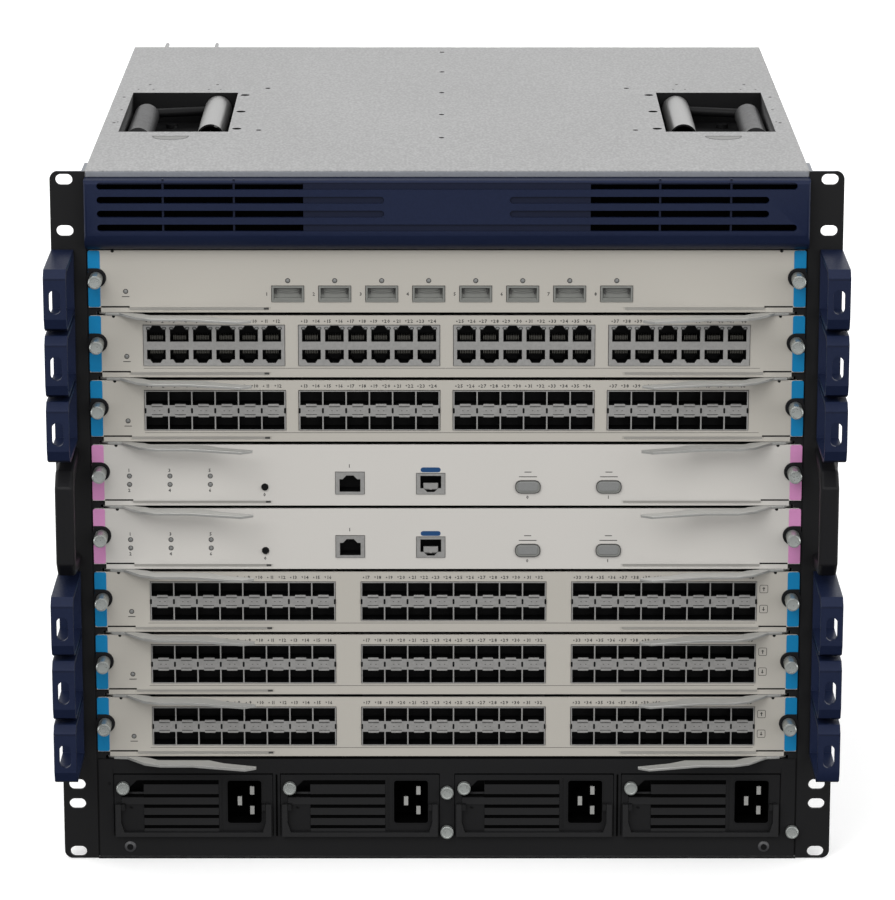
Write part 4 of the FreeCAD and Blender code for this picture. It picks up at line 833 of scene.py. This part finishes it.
# %% Lamps
LAMP_WIDE = 3.2


def status_lamp(x, z):
    """A dark ring and a domed lens inside it."""
    lens = LAMP_WIDE / 2 - 0.6
    profile = [(lens, 0.0), (lens, -0.1), (LAMP_WIDE / 4, -0.2), (0.1, -0.24)]
    ring = frame_mark(LAMP_WIDE, LAMP_WIDE, LAMP_WIDE / 2, 0.5, x, z, ink_and_shade, y=-0.12)
    return [ring, (turned(profile, x, z, sides=16), lamp)]


print("lamp width in mm:", LAMP_WIDE)

# %% [markdown]
# The foot of each face is folded back, and a thin slot is cut beside the levers.
# Both are too fine to be cut into the sheet here, so their shade is laid on as
# bands: near black for the slot, and a duller grey with a dark end for the fold.
# The print of each kind of card comes with them.

# %% Marks of each kind of card
COVER_X = (50, 100)
LAMP_COLUMNS = (-196.1, -171.1, -146.2)
LAMP_ROWS = ((18.9, 22.6), (13.5, 9.8))  # lift of the lamp and of its number
ARROW_X, ARROW_ROWS = 197, ((27.8, 1), (14.8, -1))  # lift, and up or down
SLOT_SPAN, FOLD_SPAN = (194, 211.4), (109, 194)  # distances from the middle


def edge_marks(base):
    """The pips at the top of the face, and the painted shade of the slots and pressed edges along its foot.
    """
    dot = [(1.0, 0.0), (1.0, -0.06), (0.2, -0.06)]
    top, slot, fold = base + FACE_TALL - 0.4, (base + 3.05, base + 4.0), (base + 1.75, base + 3.0)
    marks = [(turned(dot, sign * 204, top, sides=12), mould_black_and_shade) for sign in SIDES.values()]
    # The slot bands and the fold bands are painted shade, and the short dark bar at the end of the fold is a
    # painted shadow.
    for sign in SIDES.values():
        marks.append((brick(span(sign, *SLOT_SPAN), (0.0, INK_FRONT), slot), mould_black_and_shade))
        marks.append((brick(span(sign, *FOLD_SPAN), (0.0, INK_FRONT), fold), pressed))
    marks.append((brick((-112, -109), (INK_FRONT, -0.06), fold), ink_and_shade))
    return marks


def arrow_marks(base):
    """The framed arrows at the right end, one up and one down."""
    marks = []
    for lift, rise in ARROW_ROWS:
        marks.append(frame_mark(5.3, 5.3, 0.9, 0.35, ARROW_X, base + lift, ink_and_shade))
        marks.append((plate(ARROW * [1, rise], ARROW_X, base + lift, 0.0, INK_FRONT), ink_and_shade))
    return marks


def control_marks(base):
    """Two rows of three numbered lamps, the port numbers, the blue label and the lines over the covers."""
    marks = []
    for column, x in enumerate(LAMP_COLUMNS):
        for row, (lamp_lift, number_lift) in enumerate(LAMP_ROWS):
            marks += status_lamp(x, base + lamp_lift)
            marks += number_mark(2 * column + row + 1, x, base + number_lift)
    marks += number_mark(1, -60, base + 25.4) + number_mark(0, -112.5, base + 7.0)
    marks.append((plate(oblong(12.4, 3.1, 1.5), -10.1, base + 22.85, 0.0, -0.05), label_blue))
    for number, x in enumerate(COVER_X):
        marks += number_mark(number, x, base + 5.4)
        marks.append(line_mark(x - 5.5, x + 5.5, base + 18.4, 0.5))
        marks.append(line_mark(x - 2.2, x + 2.2, base + 21.4, 0.5))
    return marks


def quad_marks(base):
    """A lamp over each four-lane port and its number beside it."""
    marks = []
    for port, x in enumerate(QUAD_PORTS, 1):
        marks += status_lamp(x, base + 19.9) + number_mark(port, x - 12.6, base + 11.6)
    return marks


print("covers at x in mm:", COVER_X)

# %% [markdown]
# Each card now takes its own marks.  They become one piece, because they all
# ride on that card.

# %% Marks of every card
for card in CARDS:
    kind, base = KIND[card], BASE[card]
    marks = edge_marks(base)
    if kind in LAYOUT:
        marks += port_marks(kind, base + 35.4) + [line_mark(-186, 192, base + 5.7, 0.25)]
    if kind == "eight":
        marks += arrow_marks(base)
    if kind == "control":
        marks += control_marks(base)
    else:
        marks += status_lamp(-196.3, base + 13.2) + [line_mark(-198.6, -194.0, base + 9.9, 0.5)]
    if kind == "quad":
        marks += quad_marks(base)
    make(f"card_{card}_marks", marks, f"card_{card}")

# %% [markdown]
# A wired port shows eight contacts at the middle wall of its pair, and two
# lamp windows at its outer corners.  Real contacts are bent wires; seen from
# outside only their tips show, so a short bar stands for each.

# %% Wired ports
CONTACT_STEP, CONTACT_WIDE, CONTACT_DEPTH = 1.02, (-0.2, 0.2), (3.2, 8.0)
places = columns_of("jack")
base = BASE[2] + BLOCK_FOOT
contacts = [(pin * CONTACT_STEP, 0, 0) for pin in np.arange(8) - 3.5]
gilt = finish("contact_metal", (92, 90, 84), 0.3, metal=0.6, drift=0.05, relief=0.0)
low_pin = repeats(brick(CONTACT_WIDE, CONTACT_DEPTH, (base + 7.0, base + 9.6)), contacts)
high_pin = repeats(brick(CONTACT_WIDE, CONTACT_DEPTH, (base + 15.6, base + 18.2)), contacts)
corners = [(x, 0, base + 23.6) for x in (-4.9, 4.9)]
sockets = repeats(plate(oblong(2.7, 1.9, 0.9), 0, 0, -0.5, -0.72), corners)
windows = repeats(plate(oblong(1.7, 1.1, 0.5), 0, 0, -0.6, -0.85, 0.15), corners)
make("card_2_port_fittings", [(repeats(shape, places), surface) for shape, surface in (
    (low_pin, gilt), (high_pin, gilt), (sockets, ink_and_shade), (windows, lamp))], "card_2")

# %% [markdown]
# An optical cage is pressed from thin sheet.  Between the two rows a strip
# carries a sprung tab for each port, and a round-ended slot parts each pair
# of cages.  The slots are shallow plates in black, not cuts: their black is
# painted shade, and at this size a cut would look the same and cost many
# more faces.

# %% Optical cages
CAGE_FRONT = -0.5
for card in CARDS:
    kind = KIND[card]
    if kind not in ("six", "eight"):
        continue
    base = BASE[card] + BLOCK_FOOT
    strip = base + 12.4
    tabs = [plate(oblong(6.6, 1.4, 0.4), 0, strip + z, 0.4, -0.85, 0.2) for z in (3.5, -3.5)]
    lines = [plate(oblong(6.8, 0.35, 0.1, 1), 0, strip + z, CAGE_FRONT, -0.68) for z in (2.5, -2.5)]
    dots = [plate(oblong(0.9, 0.35, 0.1, 1), x, strip, CAGE_FRONT, -0.66) for x in (-1.6, 1.6)]
    # Painted shade: a black plate for the dark inside each slot.
    slot = plate(oblong(1.2, 3.4, 0.55), 0, strip, CAGE_FRONT, -0.7)
    shapes = [(repeats(shape, columns_of(kind)), surface)
              for group, surface in ((tabs, shield), (lines, mould_black_and_shade), (dots, ink_and_shade)) for shape in group]
    shapes.append((repeats(slot, gaps_of(kind)), mould_black_and_shade))
    make(f"card_{card}_cage_fittings", shapes, f"card_{card}")

# %% [markdown]
# The eight fast ports of the top card are shut with grey rubber plugs.  Each
# has a finger recess and a curved pull.  In the recess, two dark bars for its
# notches and a dark line along its top are painted shade.  The pull is a
# parabola with a thickness, carried forward, where a bent bar would need a path.

# %% Port plugs
PULL_HALF, PULL_RISE, PULL_THICK = 6.6, 0.9, 0.45
middle = BASE[1] + 6.7 + 4.9
places = [(x, 0, 0) for x in QUAD_PORTS]
bow_x = np.linspace(-PULL_HALF, PULL_HALF, 13)
bow_z = PULL_RISE * (bow_x / PULL_HALF) ** 2
bow = np.r_[np.c_[bow_x, bow_z], np.c_[bow_x[::-1], bow_z[::-1] + PULL_THICK]]
# Painted shade: a dark bar for each notch in the recess.
pin = brick((-0.35, 0.35), (0.2, 2.3), (middle - 0.3, middle + 3.0))
# The dark bar along the top of each recess is painted shadow.
make("card_1_port_plugs", [(repeats(shape, places), surface) for shape, surface in (
    (plate(bow, 0, middle + 0.6, 2.3, 0.9), dust_plug),
    (repeats(pin, [(-7.2, 0, 0), (7.2, 0, 0)]), ink_and_shade),
    (brick((-8.6, 8.6), (-0.2, 2.3), (middle - 3.8, middle - 2.7)), dust_plug),
    (brick((-8.6, 8.6), (1.6, 2.35), (middle + 3.0, middle + 3.8)), ink_and_shade))], "card_1", bevel=0.12)

# %% [markdown]
# On the control cards the serial port has a sprung metal flap in its mouth,
# and two rubber covers close the memory-stick ports.  Dark frames paint the
# shade in the narrow gap around each socket and each cover.

# %% Control card fittings
SOCKETS = ((-68.8, 17.7, 14.0), (-18.8, 17.5, 13.2))  # left edge, width, height
SERIAL_X = -18.8 + 17.5 / 2
flap = np.array([(-4.6, -2.4), (4.6, -2.4), (4.6, 2.0), (-4.6, 2.0)])
for card in (4, 5):
    foot = BASE[card] + BLOCK_FOOT
    port, cover = foot + 3.8, BASE[card] + 12.1
    shapes = [(plate(flap, SERIAL_X, port + 1.0, 1.6, 0.3, 0.3), shield)]
    shapes += [(plate(oblong(3.4, 0.5, 0.2), SERIAL_X + x, port - 0.9, 0.3, 0.24), ink_and_shade)
               for x in (-2.4, 2.4)]
    # Painted shade: the dark frames in the gaps around the covers and the sockets.
    for x in COVER_X:
        shapes.append(frame_mark(15.7, 8.3, 3.4, 0.45, x, cover, ink_and_shade, y=-1.1))
        shapes.append((plate(oblong(12.6, 5.9, 1.9), x, cover + 0.3, -0.9, -1.35, 0.3), lamp))
    for left, wide, tall in SOCKETS:
        middle_x, middle_z = left + wide / 2, foot + tall / 2
        shapes.append(frame_mark(wide + 0.5, tall + 0.5, 0.4, 0.35, middle_x, middle_z, ink_and_shade, y=-0.1))
    make(f"card_{card}_fittings", shapes, f"card_{card}")

# %% [markdown]
# The black lower frame is held by pan screws, each with a recess whose dark is
# painted shade.  Fine dark seams, the painted shade in the gaps, show where it
# meets the ears and where two bays meet.  A turned profile gives the dome, as it
# does for the thumbscrews.

# %% Bay frame screws and seams
SEAM_HALF, SEAM_X = 0.6, 210.0
SCREW_X, SCREW_Z, SCREW_RADIUS = 199.9, 8.1, 3.6


def pan_screw(x, z):
    """A low dome with a recess painted dark as shade."""
    dome = [(SCREW_RADIUS, 0.05), (SCREW_RADIUS, -0.35), (SCREW_RADIUS * 0.8, -1.05),
            (SCREW_RADIUS * 0.35, -1.35), (0.2, -1.35)]
    recess = [(2.0, -1.15), (2.0, -1.4), (0.2, -1.4)]
    return [(turned(dome, x, z, sides=28), ring_grey), (turned(recess, x, z, sides=20), mould_black_and_shade)]


shapes = pan_screw(-SCREW_X, SCREW_Z) + pan_screw(SCREW_X, SCREW_Z)
shapes.append((turned([(1.1, 0.1), (1.1, -0.05), (0.2, -0.05)], -212.4, 50.0, sides=14), mould_black_and_shade))
# Painted shade in the gaps at the ears and between the bays.
for x in (-SEAM_X, SEAM_X):
    shapes.append((brick((x - 0.2, x + 0.2), (0.05, -0.03), (17, 60)), mould_black_and_shade))
for left in (1, 3):
    seam = (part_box(f"psu_{left}_module")[1].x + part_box(f"psu_{left + 1}_module")[0].x) / 2 / MM
    shapes.append((brick((seam - SEAM_HALF, seam + SEAM_HALF), (0.05, -0.04), (15, 56)), shadow))
make("bay_frame_screws", shapes, "chassis")

# %% [markdown]
# A supply draws air through five slats that lean back into the dark, and a
# near-black sheet behind them paints that shade.  Beside them stand a rib, the
# rim of the mains inlet and the tips of its three pins.  Each slat is a section
# carried sideways, because its slope must catch light.

# %% Fittings of the supplies
SLATS = ((2.2, 5.0), (7.4, 11.8), (14.2, 18.6), (21.1, 25.5), (28.0, 34.2))  # foot and top of each
LONG_SLAT = 3
PINS = ((85.3, 13.2, 5.4), (85.3, 26.3, 5.4), (77.5, 19.2, 5.8))  # left, foot, height
PIN_WIDE = 2.6
INLET_X, INLET_Z = 71.3 + 10.65, 8.6 + 14.1


def louvre(left, right, foot, top):
    """A slat that leans back from its foot: a thin leaf with its top edge against the wall."""
    section = [(-0.75, foot), (-0.1, foot), (-0.1, top), (-0.2, top)]
    return skin([[(x, y, z) for y, z in section] for x in (left, right)])


for column in SUPPLIES:
    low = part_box(f"psu_{column}_module")[0] / MM
    left, right, near, foot = low.x + 18.6, low.x + 65.7, low.x + 4.6, low.z
    shapes = [(turned([(0.8, 0.1), (0.8, -0.06), (0.1, -0.06)], low.x + x, foot + z, sides=12), mould_black_and_shade)
              for x, z in ((6.5, 20.4), (11.0, 18.6), (10.0, 19.0))]
    rib = np.array([(-0.3, -19.2), (0.3, -19.2), (0.3, 19.2), (-0.3, 19.2)])
    shapes.append((plate(rib, low.x + 67.8, foot + 19.6, 0.1, -0.35, 0.1), black))
    shapes.append(frame_mark(22.6, 29.4, 2.4, 0.6, low.x + INLET_X, foot + INLET_Z, black, y=-0.35))
    # Painted shade: a near-black sheet behind the slats, and a strip in the gap beside the long slat.
    shapes.append((brick((left, right), (0.3, -0.05), (foot + 1.9, foot + 37.0)), shadow))
    shapes.append((brick((near, left), (0.3, -0.05), (foot + 26.0, foot + 27.8)), shadow))
    for number, (start, end) in enumerate(SLATS):
        from_x = near if number == LONG_SLAT else left
        shapes.append((louvre(from_x, right, foot + start, foot + end), louvre_black))
    for x, z, tall in PINS:
        tip = brick((low.x + x, low.x + x + PIN_WIDE), (3.9, 3.2), (foot + z, foot + z + tall))
        shapes.append((tip, pin_steel))
    make(f"psu_{column}_fittings", shapes, BODY[f"psu_{column}_module"])

# %% [markdown]
# The cover folds down over the bezel in a narrow lip, and a near-black sheet
# behind the bezel's louvres paints the shade inside the case.  In front of each
# well a crescent is pressed up as a finger stop, and rivets and pips dot the
# sheet.  These are outlines carried up by a tenth of a millimetre or less:
# enough to part them from the sheet.

# %% Cover details
BEZEL_TOP, LIP_X = 438.35, 219.4
WELL_X = 174.5
PIPS = ((199.4, 299, 1.0), (154.1, 299, 1.0), (206, 281, 0.7), (196, 281, 0.7), (151, 281, 0.7),
        (159, 281, 0.7), (213.6, 252, 1.1), (212.0, 206, 0.9), (213.6, 160, 1.1), (211.4, 163, 0.7))
lip = brick((-LIP_X, LIP_X), (-0.05, -0.9), (BEZEL_TOP, TOP - 0.1))
make("cover_lip", [(lip, edge_zinc)], "chassis", bevel=0.3)
# Painted shade: a near-black sheet where the inside of the case shows through the bezel.
bezel_shade_sheet = brick((-213, 213), (-2.4, -3.2), (397, 436))
make("painted_shade_behind_bezel", [(bezel_shade_sheet, shadow)], "chassis")


def upright(outline, x, y, rise):
    """An (x, y) outline carried up through the cover's face to a small rise above it."""
    outline = np.asarray(outline, float) + [x, y]
    return skin([np.c_[outline, np.full(len(outline), level)] for level in (TOP - 0.05, TOP + rise)])


half_turn = np.linspace(math.pi, 2 * math.pi, 15)
crescent = np.c_[11.6 * np.cos(half_turn), 12.0 * np.sin(half_turn)]
full_turn = np.linspace(0, 2 * math.pi, 10, endpoint=False)
pip = np.c_[np.cos(full_turn), np.sin(full_turn)]
shapes = []
for sign in SIDES.values():
    shapes.append((upright(crescent, sign * WELL_X, 113.0, 0.06), dull))
    shapes.append((upright(crescent * [0.93, 0.86], sign * WELL_X, 113.2, 0.08), pressed_zinc))
    shapes.append((upright(oblong(23.4, 1.0, 0.4), sign * WELL_X, 114.0, 0.1), ink_and_shade))
    for x, y, size in PIPS:
        shapes.append((upright(pip * [size, size * 1.4], sign * x, y, 0.05), ink_and_shade))
make("cover_pressings", shapes, "chassis")

# %% [markdown]
# Each cable loop has a small brow across its front, with shade under it.  A
# thin dark bar paints that shade, where a cut into the solid would break the
# bevel beside it.

# %% Painted shade under the cable guide brows
LOOP_STEP, LOOP_INNER, LOOP_OUTER = 40.84, 227.7, 241.0
GROUP_TOPS = (393.3, 189.2)
crowns = [(0, 0, group - loop * LOOP_STEP) for group in GROUP_TOPS for loop in range(3)]
for side, sign in SIDES.items():
    # Painted shade: a dark bar under the brow of each loop.
    brow_shade = brick(span(sign, LOOP_INNER, LOOP_OUTER), (-60.4, -60.52), (-5.9, -5.2))
    make(f"cable_guide_brow_shade_{side}", [(repeats(brow_shade, crowns), navy_shade)], BODY["cable_guides_" + side])
